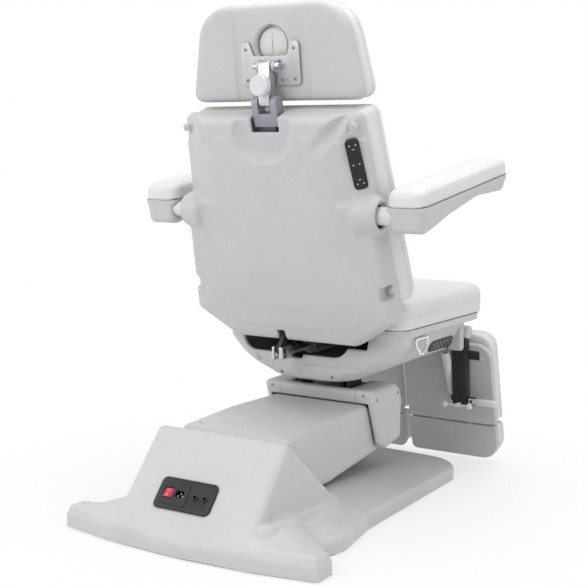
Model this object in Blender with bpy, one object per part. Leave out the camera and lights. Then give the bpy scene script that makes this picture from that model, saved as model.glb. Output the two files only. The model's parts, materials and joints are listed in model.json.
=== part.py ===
# Podiatry chair with a lifting arm, tilting seat, reclining back, headrest, armrests and two leg rests.
# Metres, +Z up. The occupant faces -Y. The origin is on the floor under the middle of the base.
import math

import bmesh
import bpy
from mathutils import Matrix, Vector

# Fits shared by all pieces
CLEAR = 0.0003            # gap between pieces that touch
RUNNING_GAP = 0.0005      # radial gap of a pin in its hole
SEAM_GAP = 0.0008         # line between two covers
FACET_DEG = 30.0          # longest arc step of a rounded corner
BITE = 0.002              # overlap of shapes that are welded into one piece

# Base cover and frame
WING_SPAN = 0.770
WING_LENGTH = 0.067
WING_TOP = 0.060
BASE_REAR_Y = 0.526
BASE_FRONT_Y = -0.505
REAR_BOW = 0.044
REAR_SHOULDER_X = 0.215
REAR_SHOULDER = 0.030      # rear edge beside the tower, behind the wing tips
FRONT_BOW = 0.022
NOTCH_WIDTH = 0.604
LOBE_WIDTH = 0.648
LOBE_Y = 0.310
WAIST_WIDTH = 0.572
NOSE_WIDTH = 0.512
NOSE_RADIUS = 0.120
BASE_LIFT = 0.003         # floor clearance of the cover rim
RIM_HEIGHT = 0.034
DECK_HEIGHT = 0.092
DECK_INSET = 0.190
DECK_FALL = 0.5           # share of the deck crown left at the nose
BASE_WALL = 0.004
BASE_SEAM_Y = 0.126
FRAME_PLATE = 0.006
TOWER_TOP = 0.264
TOWER_TOP_WIDTH = 0.400
TOWER_FOOT_WIDTH = 0.411
TOWER_FOOT_Z = 0.105
TOWER_FRONT_Y = 0.168
TOWER_REAR_Y = 0.506
TOWER_LOW_REAR_Y = 0.5545
TOWER_RIDGE_Y = 0.374
TOWER_RIDGE = 0.015
TOWER_CORNER = 0.022
PLINTH_WIDTH = 0.470
PLINTH_TOP = 0.095
PLINTH_CORNER = 0.050
INLET_WIDTH = 0.172
INLET_HEIGHT = 0.084
INLET_CORNER = 0.014
INLET_PROUD = 0.005
INLET_DEPTH = 0.034
INLET_X = 0.022
INLET_UP = 0.0306         # along the rear slope, from the tower foot to the panel centre
SOCKET_WIDTH = 0.0245
SOCKET_HEIGHT = 0.0175
SOCKET_DEPTH = 0.016
ROCKER_WIDTH = 0.024
ROCKER_HEIGHT = 0.025
ROCKER_TILT_DEG = 8.0

# Lifting arm
PIVOT_Y = 0.345
PIVOT_Z = 0.195
ARM_REACH = 0.520
ARM_RISE = 0.015          # height of the front pivot over the rear one at rest
ARM_WIDTH = 0.300
ARM_REAR_WIDTH = 0.332
ARM_TAPER_Y = -0.205
ARM_COVER_WALL = 0.003
ARM_TOP_Z = 0.2715
ARM_TOP_REAR_Y = 0.312
ARM_TOP_FRONT_Y = -0.095
ARM_BELLY_DROP = 0.095    # lowest line of the cover under the rear pivot
ARM_TAIL_DROP = 0.085
ARM_PLATE = 0.010
ARM_PLATE_GAP = 0.009
ARM_PLATE_RADIUS = 0.030
SLOT_GAP = 0.0035
UPRIGHT = 0.012
UPRIGHT_GAP = 0.006
AXLE_RADIUS = 0.0125
TRUNNION_RADIUS = 0.012
LINK_DROP = 0.055
LINK_BAR = 0.012
LINK_RADIUS = 0.013
LINK_PIN_RADIUS = 0.008
LIFT_ANCHOR_DROP = 0.130  # actuator foot under the rear pivot
LIFT_PIN_REACH = 0.405    # actuator pin ahead of the rear pivot
LIFT_PIN_RISE = 0.005
LIFT_PIN_RADIUS = 0.009
LIFT_FOOT_PIN_RADIUS = 0.006
LIFT_EYE_GAP = 0.006      # room round the rod eye, whose pivot is left open
BARREL_RADIUS = 0.026
BARREL_LENGTH = 0.250
ROD_RADIUS = 0.011
ROD_OVERLAP = 0.110       # rod length inside the barrel at rest

# Carriage
CARRIAGE_WIDTH = 0.356
CARRIAGE_WALL = 0.004
ROOF_FALL = 0.0013         # fall of the roof from its crest to the cover posts
CARRIAGE_TOP_Z = 0.317
CARRIAGE_REAR_Y = -0.075
CARRIAGE_FRONT_Y = -0.262
CARRIAGE_LOW_Z = 0.135
CARRIAGE_LIP_Z = 0.2745
CARRIAGE_SEAM_X = 0.124
BRACKET_PLATE = 0.012
BRACKET_GAP = 0.004
BRACKET_TOP_Z = 0.298
TILT_Y = -0.145
TILT_Z = 0.352
TILT_LUG_X = 0.074
TILT_LUG = 0.012
TILT_PIN_RADIUS = 0.010
TILT_DRIVE_X = -0.042
TILT_FOOT_Y = -0.200
TILT_FOOT_Z = 0.318
TILT_HEAD_Y = -0.330
TILT_HEAD_Z = 0.4475
TILT_BARREL_RADIUS = 0.018
TILT_BARREL_LENGTH = 0.095
TILT_ROD_RADIUS = 0.009
TILT_ROD_OVERLAP = 0.045
SMALL_PIN_RADIUS = 0.006

# Seat
SEAT_WIDTH = 0.600
SEAT_REAR_Y = -0.032
SEAT_FRONT_Y = -0.525
SEAT_OVERHANG = 0.018      # rim past the wall under it at the front
SEAT_WAIST_Y = -0.250      # from here forward the sides are steep
SEAT_SEAM_Z = 0.492
SEAT_LIP = 0.018
SEAT_WALL = 0.004
SEAT_KEEL_Z = 0.335
SEAT_KEEL_WIDTH = 0.210
SEAT_CUSHION_REAR_Z = 0.558
SEAT_CUSHION_FRONT_Z = 0.580
SEAT_CUSHION_OVER = 0.011  # cushion past the shell rim at the front
SEAT_OPENING_WIDTH = 0.372
SEAT_OPENING_Z = 0.408
REAR_COVER_WIDTH = 0.220
REAR_COVER_TOP_Z = 0.402
RAIL_X = 0.0875
RAIL_WIDTH = 0.040
RAIL_HEIGHT = 0.028
RAIL_Z = 0.442
RAIL_FRONT_Y = -0.450
RAIL_REAR_Y = -0.050
CROSS_TUBE = 0.030
KEYPAD_LENGTH = 0.142
KEYPAD_WIDTH = 0.034
KEYPAD_DEPTH = 0.014
KEYPAD_PROUD = 0.006
SEAT_KEYPAD_Y = -0.355
SEAT_KEYPAD_Z = 0.416
RING_Y = -0.145
RING_Z = 0.463
RING_BOSS = 0.012         # height and reach of the ring's seat on the shell
RING_WIDTH = 0.070
RING_DROP = 0.042
RING_WIRE = 0.0045

# Back, in its own frame: x across, y to the rear, z up along the back
BACK_PIVOT_Y = 0.015
BACK_PIVOT_Z = 0.480
BACK_LEAN_DEG = 15.0
BACK_TOP = 0.602
BACK_BOTTOM = -0.030
BACK_TOP_WIDTH = 0.548
BACK_WIDTH = 0.612         # across the armrest bosses
BACK_LOW_WIDTH = 0.638     # across the lower side corners
BACK_TONGUE_WIDTH = 0.380
BACK_SHOULDER = 0.052     # height of the lower side corners
BACK_RIM = -0.030
BACK_DEPTH = 0.076        # from the rim to the crown of the shell
BACK_WALL = 0.004
SCOOP_WIDTH = 0.198       # hollow in the rear face under the headrest
SCOOP_LOW = 0.480
SCOOP_SLOPE = 0.022
SCOOP_FLOOR = 0.016
POCKET_HEIGHT = 0.036     # screw pockets in the turned edge
UPPER_POCKET_X = 0.238
UPPER_POCKET_RISE = 0.568
LOWER_POCKET_X = 0.284
LOWER_POCKET_RISE = 0.135
BOSS_ROOT_RADIUS = 0.056
BOSS_END_RADIUS = 0.043
BOSS_LENGTH = 0.058
BACK_CUSHION_BOTTOM = 0.074
BACK_CUSHION = 0.106
BACK_CROWN = 0.016
BACK_LUG_X = 0.135
BACK_LUG = 0.012
BACK_LUG_GAP = 0.003
BACK_PIN_RADIUS = 0.012
BACK_LUG_RADIUS = 0.018
SOCKET_RISE = 0.3375      # armrest shafts above the back pivot
SHAFT_RADIUS = 0.0232
SLEEVE_WALL = 0.006
BACK_TUBE_X = 0.090
BACK_TUBE = 0.025
BACK_DRIVE_X = 0.035
CRANK_LENGTH = 0.065
CRANK_BACK_DEG = 36.0     # crank behind the plumb line at rest
CRANK_WIDTH = 0.012
BACK_EYE_GAP = 0.013
BACK_ANCHOR_Y = -0.285
BACK_BARREL_LENGTH = 0.190
BACK_ROD_OVERLAP = 0.100
BACK_KEYPAD_RISE = 0.473
BACK_KEYPAD_X = -0.2545
BACK_KEYPAD_Y = 0.0065
BACK_KEYPAD_TURN_DEG = 30.0
BACK_KEYPAD_TILT_DEG = 5.5
BACK_CREASE = 0.365        # above this height the side edges are cut back for the keypad
BACK_KEYPAD_LENGTH = 0.130
BACK_KEYPAD_WIDTH = 0.036

# Headrest
POST_Y = -0.013           # in the back's frame
FORK_ABOVE = 0.026        # lower hinge above the top of the back
FORK_RISE = BACK_TOP + FORK_ABOVE
FORK_WIDTH = 0.075
FORK_PRONG = 0.0185
FORK_RADIUS = 0.017
FORK_FOOT = 0.060         # fork body under its hinge
POST_WIDTH = 0.040
POST_THICK = 0.012
POST_LENGTH = 0.110
HEAD_LINK = 0.092
HEAD_LINK_WIDTH = 0.032
HEAD_PIN_RADIUS = 0.008
KNOB_RADIUS = 0.0275
KNOB_LENGTH = 0.025
HEAD_LEAN_DEG = 7.0
HEAD_BOTTOM = -0.094      # from the upper hinge, along the headrest
HEAD_TOP = 0.155
HEAD_WIDTH = 0.538
HEAD_TOP_WIDTH = 0.440
HEAD_TOP_RADIUS = 0.098
HEAD_REAR = -0.022        # rear face of the shell behind the upper hinge
HEAD_SHELL = 0.026
HEAD_WALL = 0.004
HEAD_CUSHION = 0.074
HEAD_CROWN = 0.012
FACE_HOLE_RADIUS = 0.051
FACE_HOLE_RISE = 0.050
HEAD_PLATE = 0.005
HEAD_PLATE_WIDTH = 0.178
HEAD_PLATE_BOTTOM = -0.052
HEAD_PLATE_TOP = 0.060
HEAD_PLATE_NOTCH = 0.104
HEAD_NOTCH_LOW = 0.024
HEAD_LUG = 0.009

# Armrests
ARMREST_GAP = 0.021       # from the back's side to the armrest
ARMREST_X = BACK_WIDTH / 2 + ARMREST_GAP
ARMREST_WIDTH = 0.112
ARMREST_REAR_Y = 0.138
ARMREST_FRONT_Y = -0.388
ARMREST_SEAM_Z = 0.828
ARMREST_SLOPE_DEG = 8.5
ARMREST_LIP = 0.012       # upright band of the shell under the pad
ARMREST_DRAW = 0.013      # draw of the shell sides under that band
ARMREST_NOSE_RADIUS = 0.050
ARMREST_PAD = 0.044
ARMREST_CROWN = 0.005
SHAFT_INSIDE = 0.028

# Leg rests
LEG_AXLE_Y = -0.535
LEG_AXLE_Z = 0.425
LEG_AXLE_RADIUS = 0.010
LEG_AXLE_SPAN = 0.500
LEG_HUB_RADIUS = 0.018
LEG_BAR_X = 0.198
LEG_BAR_WIDTH = 0.045
LEG_BAR_DEPTH = 0.026
LEG_BAR_FOOT_Z = 0.195
LEG_BAR_LEAN = 0.016
LEG_PANEL_Y = -0.610       # rear face at the slit
LEG_TILT_DEG = 12.5        # lean of the boards, their upper edge to the rear
LEG_PANEL = 0.022
LEG_INNER_X = 0.012
LEG_OUTER_X = 0.308
LEG_PANEL_TOP_Z = 0.390
LEG_SLIT_Z = 0.130
LEG_SLIT = 0.004
FOOT_BOTTOM_Z = 0.018
FOOT_CORNER = 0.075
LEG_CUSHION_TOP_Z = 0.418
LEG_CUSHION = 0.058
LEG_CROWN = 0.010
GUIDE_RADIUS = 0.0065
GUIDE_INNER_X = 0.100
GUIDE_OUTER_X = 0.220
GUIDE_TOP_Z = 0.330
GUIDE_BORE_TOP_Z = 0.365
TAB = 0.005
STRUT_X = 0.182
STRUT_TOP_Y = -0.500
STRUT_TOP_Z = 0.395
STRUT_LOW_Y = -0.570
STRUT_LOW_Z = 0.234
STRUT_RADIUS = 0.0135
STRUT_TUBE = 0.140        # tube length above its lower eye
STRUT_EYE = 0.016
STRUT_ROD_RADIUS = 0.006
STRUT_ROD_OVERLAP = 0.098
LEVER_X = 0.256
LEVER_Z = 0.214
LEVER_PIN_RADIUS = 0.004
LEVER_PLATE = 0.005
GRIP_LENGTH = 0.060
GRIP_RADIUS = 0.0105
HANDLE_Z = 0.203
HANDLE_SPAN = 0.079
HANDLE_BALL_RADIUS = 0.010
HANDLE_STANDOFF = 0.018

FRAMES = {}


def clear_scene():
    for old in list(bpy.data.objects):
        bpy.data.objects.remove(old, do_unlink=True)


def paint(name, colour, roughness, metallic=0.0):
    """A plain finish with one colour."""
    finish = bpy.data.materials.new(name)
    finish.use_nodes = True
    shader = finish.node_tree.nodes["Principled BSDF"]
    shader.inputs["Base Color"].default_value = (*colour, 1.0)
    shader.inputs["Roughness"].default_value = roughness
    shader.inputs["Metallic"].default_value = metallic
    return finish


def body(name, pivot, parent=None, lean_deg=0.0):
    """An empty on a joint axis, which carries its pieces and the bodies that hang on it."""
    empty = bpy.data.objects.new(name + "_axis", None)
    bpy.context.scene.collection.objects.link(empty)
    world = Matrix.Translation(pivot) @ Matrix.Rotation(-math.radians(lean_deg), 4, "X")
    local = world
    if parent is not None:
        empty.parent = parent
        local = FRAMES[parent.name].inverted() @ world
    FRAMES[empty.name] = world
    empty.location = local.to_translation()
    empty.rotation_euler = local.to_euler()
    return empty


def in_frame(owner, point):
    """World place of a point given in a body's own frame."""
    return FRAMES[owner.name] @ Vector(point)


def finish(shape, name, look, owner, own_frame=False):
    """Name a shape, give it its material and hang it on its body."""
    if not own_frame:
        shape.data.transform(FRAMES[owner.name].inverted())
    shape.name = name
    shape.data.name = name
    shape.parent = owner
    shape.data.materials.clear()
    shape.data.materials.append(look)
    shape.data.shade_smooth()
    shape.data.set_sharp_from_angle(angle=math.radians(35))
    return shape


def solid(bm):
    bmesh.ops.recalc_face_normals(bm, faces=bm.faces)
    mesh = bpy.data.meshes.new("shape")
    bm.to_mesh(mesh)
    bm.free()
    shape = bpy.data.objects.new("shape", mesh)
    bpy.context.scene.collection.objects.link(shape)
    return shape


def bake(shape):
    """Keep what the modifiers make as the mesh itself."""
    graph = bpy.context.evaluated_depsgraph_get()
    mesh = bpy.data.meshes.new_from_object(shape.evaluated_get(graph))
    shape.modifiers.clear()
    shape.data = mesh
    return shape


def combine(shape, operation, others):
    for other in others:
        modifier = shape.modifiers.new(operation, "BOOLEAN")
        modifier.operation = operation
        modifier.object = other
    bake(shape)
    for other in others:
        bpy.data.objects.remove(other)
    return shape


def join(shape, *others):
    return combine(shape, "UNION", others)


def cut(shape, *others):
    return combine(shape, "DIFFERENCE", others)


def keep(shape, other):
    return combine(shape, "INTERSECT", [other])


def twin(shape):
    copy = bpy.data.objects.new("shape", shape.data.copy())
    bpy.context.scene.collection.objects.link(copy)
    return copy


def mirrored(shape):
    """Swap left and right."""
    shape.data.transform(Matrix.Scale(-1, 4, (1, 0, 0)))
    shape.data.flip_normals()
    return shape


def sided(shape, side):
    """Pieces of a pair are shaped on the left and mirrored for the right."""
    return shape if side > 0 else mirrored(shape)


def soften(shape, width, segments=2, angle_deg=40):
    bevel = shape.modifiers.new("soften", "BEVEL")
    bevel.width = width
    bevel.segments = segments
    bevel.limit_method = "ANGLE"
    bevel.angle_limit = math.radians(angle_deg)
    return bake(shape)


def mix(low, high, share):
    return low + (high - low) * share


def rounded(corners, arc_steps=None):
    """Turn corners (a, b, radius) into a closed outline with an arc at each corner."""
    outline = []
    for index, (a, b, radius) in enumerate(corners):
        here = Vector((a, b))
        back = Vector(corners[index - 1][:2]) - here
        ahead = Vector(corners[(index + 1) % len(corners)][:2]) - here
        if radius <= 0:
            outline.append((a, b))
            continue
        half = back.angle(ahead) / 2
        tangent = min(radius / math.tan(half), 0.49 * back.length, 0.49 * ahead.length)
        radius = tangent * math.tan(half)
        centre = here + (back.normalized() + ahead.normalized()).normalized() * radius / math.sin(half)
        start = here + back.normalized() * tangent - centre
        end = here + ahead.normalized() * tangent - centre
        turn = math.pi - 2 * half
        if start.x * end.y - start.y * end.x < 0:
            turn = -turn
        steps = arc_steps or max(1, math.ceil(abs(math.degrees(turn)) / FACET_DEG))
        for step in range(steps + 1):
            angle = turn * step / steps
            outline.append((centre.x + start.x * math.cos(angle) - start.y * math.sin(angle),
                            centre.y + start.x * math.sin(angle) + start.y * math.cos(angle)))
    return outline


def both_halves(corners):
    """Complete corners given for the +x half, from top to bottom, with their mirror images."""
    other = [(-x, y, radius) for x, y, radius in reversed(corners) if x > 0]
    return corners + other


def skin(rings):
    """Closed solid through rings of equal point counts."""
    bm = bmesh.new()
    loops = [[bm.verts.new(point) for point in ring] for ring in rings]
    for low, high in zip(loops, loops[1:]):
        for index in range(len(low)):
            after = (index + 1) % len(low)
            bm.faces.new((low[index], low[after], high[after], high[index]))
    bm.faces.new(loops[0])
    bm.faces.new(loops[-1])
    return solid(bm)


def prism(outline, axis, low, high):
    """Extrude an outline along X (points y, z), Y (points x, z) or Z (points x, y)."""
    def at(point, depth):
        a, b = point[:2]
        return {"X": (depth, a, b), "Y": (a, depth, b), "Z": (a, b, depth)}[axis]
    return skin([[at(point, low) for point in outline], [at(point, high) for point in outline]])


def block(low, high):
    outline = [(low[0], low[1]), (high[0], low[1]), (high[0], high[1]), (low[0], high[1])]
    return prism(outline, "Z", low[2], high[2])


def rod(start, end, radius, sides=12):
    start = Vector(start)
    end = Vector(end)
    turn = (end - start).to_track_quat("Z", "Y")
    circle = []
    for step in range(sides):
        angle = 2 * math.pi * step / sides
        circle.append(turn @ Vector((radius * math.cos(angle), radius * math.sin(angle), 0)))
    return skin([[start + spoke for spoke in circle], [end + spoke for spoke in circle]])


def pin(low_x, high_x, y, z, radius, sides=12):
    return rod((low_x, y, z), (high_x, y, z), radius, sides)


def ball(centre, radius):
    bm = bmesh.new()
    bmesh.ops.create_icosphere(bm, subdivisions=2, radius=radius, matrix=Matrix.Translation(centre))
    return solid(bm)


def offset(outline, distance):
    """Draw a clockwise outline in evenly by a small distance."""
    moved = []
    for index, (a, b) in enumerate(outline):
        before = outline[index - 1]
        after = outline[(index + 1) % len(outline)]
        along = Vector((after[0] - before[0], after[1] - before[1])).normalized()
        moved.append((a + along.y * distance, b - along.x * distance))
    return moved


def bar_outline(start, end, radius, arc_steps=5):
    """Outline of a flat bar with round ends about two points."""
    start = Vector(start)
    end = Vector(end)
    along = math.atan2(end.y - start.y, end.x - start.x)
    outline = []
    for centre, first in ((end, along - math.pi / 2), (start, along + math.pi / 2)):
        for step in range(arc_steps + 1):
            angle = first + math.pi * step / arc_steps
            outline.append((centre.x + radius * math.cos(angle), centre.y + radius * math.sin(angle)))
    return outline


def rect_ring(half, front, rear, z, radius):
    """Level rectangle with rounded corners."""
    corners = [(half, rear, radius), (half, front, radius), (-half, front, radius), (-half, rear, radius)]
    return [(x, y, z) for x, y in rounded(corners)]


def inset_ring(outline, inset, place):
    """One ring of a padded or pressed shape: the outline drawn in evenly and put in place."""
    low_a = min(a for a, b in outline)
    high_a = max(a for a, b in outline)
    low_b = min(b for a, b in outline)
    high_b = max(b for a, b in outline)
    mid_a = (low_a + high_a) / 2
    mid_b = (low_b + high_b) / 2
    scale_a = 1 - 2 * inset / (high_a - low_a)
    scale_b = 1 - 2 * inset / (high_b - low_b)
    return [place(mid_a + (a - mid_a) * scale_a, mid_b + (b - mid_b) * scale_b) for a, b in outline]


def cushion(outline, depth, crown, place, roll=0.030, pull=0.006):
    """Padded solid: sides drawn in at the seam, rolled edge and a crowned face. place(a, b, height)."""
    width = max(a for a, b in outline) - min(a for a, b in outline)
    height = max(b for a, b in outline) - min(b for a, b in outline)
    middle = min(width, height) / 2
    profile = [(pull, 0.0), (pull / 3, 0.25 * depth), (0.0, 0.5 * depth)]
    for angle_deg in (20, 45, 70):
        angle = math.radians(angle_deg)
        profile.append((roll * (1 - math.cos(angle)), depth * (0.5 + 0.5 * math.sin(angle))))
    for share in (0.0, 0.3, 0.65):
        profile.append((mix(roll, middle * 0.94, share), depth + crown * (1 - (1 - share) ** 2)))
    rings = [inset_ring(outline, inset, lambda a, b, rise=rise: place(a, b, rise)) for inset, rise in profile]
    return skin(rings)


# Base: cover in two pieces, steel frame, axle and inlet

def base_outline():
    half = WING_SPAN / 2
    corners = [
        (0, BASE_REAR_Y + REAR_BOW, 0.5),
        (REAR_SHOULDER_X, BASE_REAR_Y + REAR_SHOULDER, 0.12),
        (half, BASE_REAR_Y, 0.012),
        (half - 0.005, BASE_REAR_Y - WING_LENGTH, 0.016),
        (NOTCH_WIDTH / 2, (BASE_REAR_Y - WING_LENGTH + LOBE_Y) / 2, 0.045),
        (LOBE_WIDTH / 2, LOBE_Y, 0.100),
        (WAIST_WIDTH / 2, BASE_SEAM_Y, 0.300),
        (NOSE_WIDTH / 2, BASE_FRONT_Y, NOSE_RADIUS),
        (0, BASE_FRONT_Y - FRONT_BOW, 0.9),
    ]
    return rounded(both_halves(corners))


def wing_ring(side, z, inset):
    """Level outline of one wing, drawn in from the outline of the base."""
    half = WING_SPAN / 2 - 0.002 - inset
    rear = BASE_REAR_Y - 0.0005 - inset
    front = BASE_REAR_Y - WING_LENGTH + 0.0015 + inset
    plan = rounded([(half, rear, 0.010), (half - 0.003, front, 0.010), (0.190, front, 0.004),
                    (0.190, rear + REAR_SHOULDER, 0.004)])
    return [(side * x, y, z) for x, y in plan]


def wing_solid(side, shrink):
    """Block of one wing of the foot, with a flat top."""
    bottom = -BASE_LIFT if shrink else BASE_LIFT + 0.001
    return skin([
        wing_ring(side, bottom, shrink),
        wing_ring(side, RIM_HEIGHT, shrink + 0.001),
        wing_ring(side, WING_TOP - 0.006 - shrink, shrink + 0.006),
        wing_ring(side, WING_TOP - shrink, shrink + 0.013),
    ])


def foot_solid(shrink):
    """Low, crowned foot of the base; shrink draws it in to make the hollow."""
    half = WING_SPAN / 2
    bottom = -BASE_LIFT if shrink else BASE_LIFT
    levels = ((bottom, 0.0), (RIM_HEIGHT, 0.0), (mix(RIM_HEIGHT, DECK_HEIGHT, 0.15), 0.06),
              (mix(RIM_HEIGHT, DECK_HEIGHT, 0.5), 0.42), (mix(RIM_HEIGHT, DECK_HEIGHT, 0.85), 0.8),
              (DECK_HEIGHT, 1.0))
    rings = []
    for z, share in levels:
        across = 1 - share * DECK_INSET / half
        along = 1 - share * DECK_INSET / 2 / BASE_REAR_Y
        ring = offset([(x * across, y * along) for x, y in base_outline()], shrink)
        points = []
        for x, y in ring:
            fall = mix(1.0, DECK_FALL, min(max((BASE_SEAM_Y - y) / 0.5, 0.0), 1.0))
            height = z if z < RIM_HEIGHT / 2 else RIM_HEIGHT + (z - RIM_HEIGHT) * fall - shrink
            points.append((x, y, height))
        rings.append(points)
    return join(skin(rings), wing_solid(1, shrink), wing_solid(-1, shrink))


def tower_rear(z):
    """Rear face of the tower, one slope from the ridge down to the rim."""
    share = (z - TOWER_FOOT_Z) / (TOWER_TOP - TOWER_FOOT_Z)
    return min(mix(TOWER_REAR_Y, TOWER_RIDGE_Y, share), TOWER_LOW_REAR_Y)


def tower_solid(shrink):
    """Tent-shaped tower over the rear axle, on a low plinth that shows at both sides."""
    top = TOWER_TOP - 2 * shrink
    ledge = PLINTH_TOP - shrink
    bottom = -BASE_LIFT if shrink else RIM_HEIGHT
    rings = []
    for z, width in ((bottom, PLINTH_WIDTH), (RIM_HEIGHT + 0.0125, PLINTH_WIDTH), (ledge - 0.006, PLINTH_WIDTH - 0.004),
                     (ledge, PLINTH_WIDTH - 0.014)):
        rings.append(rect_ring(width / 2 - shrink, TOWER_FRONT_Y - 0.012 + shrink, tower_rear(z) - shrink, z,
                               PLINTH_CORNER))
    for share in (0.0, 0.35, 0.7, 0.95, 1.0):
        z = mix(ledge + 0.001, top, share)
        inset = shrink + (0.002 if share == 1.0 else 0.0)
        half = mix(TOWER_FOOT_WIDTH, TOWER_TOP_WIDTH, share) / 2 - inset
        front = mix(TOWER_FRONT_Y, TOWER_RIDGE_Y - TOWER_RIDGE, share) + inset
        rings.append(rect_ring(half, front, tower_rear(z) - inset, z, TOWER_CORNER))
    return skin(rings)


def rear_slope():
    """Angle of the tower's rear face from the floor, and the direction up it."""
    run = TOWER_REAR_Y - TOWER_RIDGE_Y
    rise = TOWER_TOP - TOWER_FOOT_Z
    return math.atan2(rise, run)


def inlet_frame():
    """Frame on the rear slope: x to the viewer's right, y up the slope, z out of the face."""
    slope = rear_slope()
    centre = (INLET_X, TOWER_REAR_Y - INLET_UP * math.cos(slope), TOWER_FOOT_Z + INLET_UP * math.sin(slope))
    return Matrix.Translation(centre) @ Matrix.Rotation(math.pi, 4, "Z") @ Matrix.Rotation(slope, 4, "X")


def inlet_block(width, height, low, high, corner, centre=(0.0, 0.0)):
    ring = [(centre[0] + sx * width / 2, centre[1] + sy * height / 2, corner)
            for sx, sy in ((1, 1), (1, -1), (-1, -1), (-1, 1))]
    shape = prism(rounded(ring), "Z", low, high)
    shape.data.transform(inlet_frame())
    return shape


def base_covers(look_rear, look_front, base):
    cover = join(foot_solid(0.0), tower_solid(0.0))
    cut(cover, join(foot_solid(BASE_WALL), tower_solid(BASE_WALL)))
    slot = arm_half(TOWER_RIDGE_Y) + SLOT_GAP
    opening = block((-slot, BASE_SEAM_Y + 0.024, -1), (slot, TOWER_RIDGE_Y - TOWER_RIDGE, 1))
    panel_hole = inlet_block(INLET_WIDTH - 0.012 + 2 * CLEAR, INLET_HEIGHT - 0.012 + 2 * CLEAR, -0.03, 0.02,
                             INLET_CORNER)
    cut(cover, opening, panel_hole)
    front = keep(twin(cover), block((-1, -1, -1), (1, BASE_SEAM_Y - SEAM_GAP / 2, 1)))
    rear = keep(cover, block((-1, BASE_SEAM_Y + SEAM_GAP / 2, -1), (1, 1, 1)))
    finish(rear, "tower_cover", look_rear, base)
    finish(front, "front_cover", look_front, base)


def arm_front():
    """Front pivot of the lifting arm."""
    return PIVOT_Y - ARM_REACH, PIVOT_Z + ARM_RISE


def arm_half(y):
    """Half width of the arm cover, which widens towards the rear axle."""
    return mix(ARM_WIDTH, ARM_REAR_WIDTH, (y - ARM_TAPER_Y) / (PIVOT_Y - ARM_TAPER_Y)) / 2


def arm_plate_outer():
    return ARM_WIDTH / 2 - ARM_COVER_WALL - ARM_PLATE_GAP


def bracket_outer():
    return arm_plate_outer() - ARM_PLATE - BRACKET_GAP


def link_x():
    """Inner face of the levelling link."""
    return bracket_outer() - BRACKET_PLATE - 2 * LINK_BAR - 0.007


def upright_x():
    return ARM_REAR_WIDTH / 2 + UPRIGHT_GAP


def base_frame(look, base):
    frame = prism(offset(base_outline(), BASE_WALL + CLEAR), "Z", 0, FRAME_PLATE)
    low = FRAME_PLATE - BITE
    top = PIVOT_Z + 0.027
    upright = rounded([(PIVOT_Y - 0.105, low, 0), (PIVOT_Y + 0.105, low, 0), (PIVOT_Y + 0.050, top, 0.028),
                       (PIVOT_Y - 0.016, top, 0.028)])
    pieces = []
    for side in (1, -1):
        ends = sorted((side * upright_x(), side * (upright_x() + UPRIGHT)))
        pieces.append(prism(upright, "X", *ends))
        ends = sorted((side * 0.0185, side * 0.0265))
        foot = [(PIVOT_Y - 0.03, low, 0), (PIVOT_Y + 0.03, low, 0),
                (PIVOT_Y + 0.016, PIVOT_Z - LIFT_ANCHOR_DROP + 0.018, 0.01),
                (PIVOT_Y - 0.016, PIVOT_Z - LIFT_ANCHOR_DROP + 0.018, 0.01)]
        pieces.append(prism(rounded(foot), "X", *ends))
    anchor_z = PIVOT_Z - LIFT_ANCHOR_DROP
    pieces.append(pin(-0.0265 + BITE, 0.0265 - BITE, PIVOT_Y, anchor_z, LIFT_FOOT_PIN_RADIUS))
    link_z = PIVOT_Z - LINK_DROP
    lug = [(PIVOT_Y - 0.035, low, 0), (PIVOT_Y + 0.035, low, 0), (PIVOT_Y + 0.018, link_z + 0.018, 0.015),
           (PIVOT_Y - 0.018, link_z + 0.018, 0.015)]
    pieces.append(prism(rounded(lug), "X", link_x() - CLEAR - LINK_BAR, link_x() - CLEAR))
    pieces.append(pin(link_x() - BITE, link_x() + LINK_BAR + 0.003, PIVOT_Y, link_z, LINK_PIN_RADIUS))
    join(frame, *pieces)
    cut(frame, pin(-1, 1, PIVOT_Y, PIVOT_Z, AXLE_RADIUS + CLEAR, 20))
    finish(frame, "base_frame", look, base)


def rear_axle(look, base):
    end = upright_x() + UPRIGHT + 0.004
    finish(pin(-end, end, PIVOT_Y, PIVOT_Z, AXLE_RADIUS, 20), "rear_axle", look, base)


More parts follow.
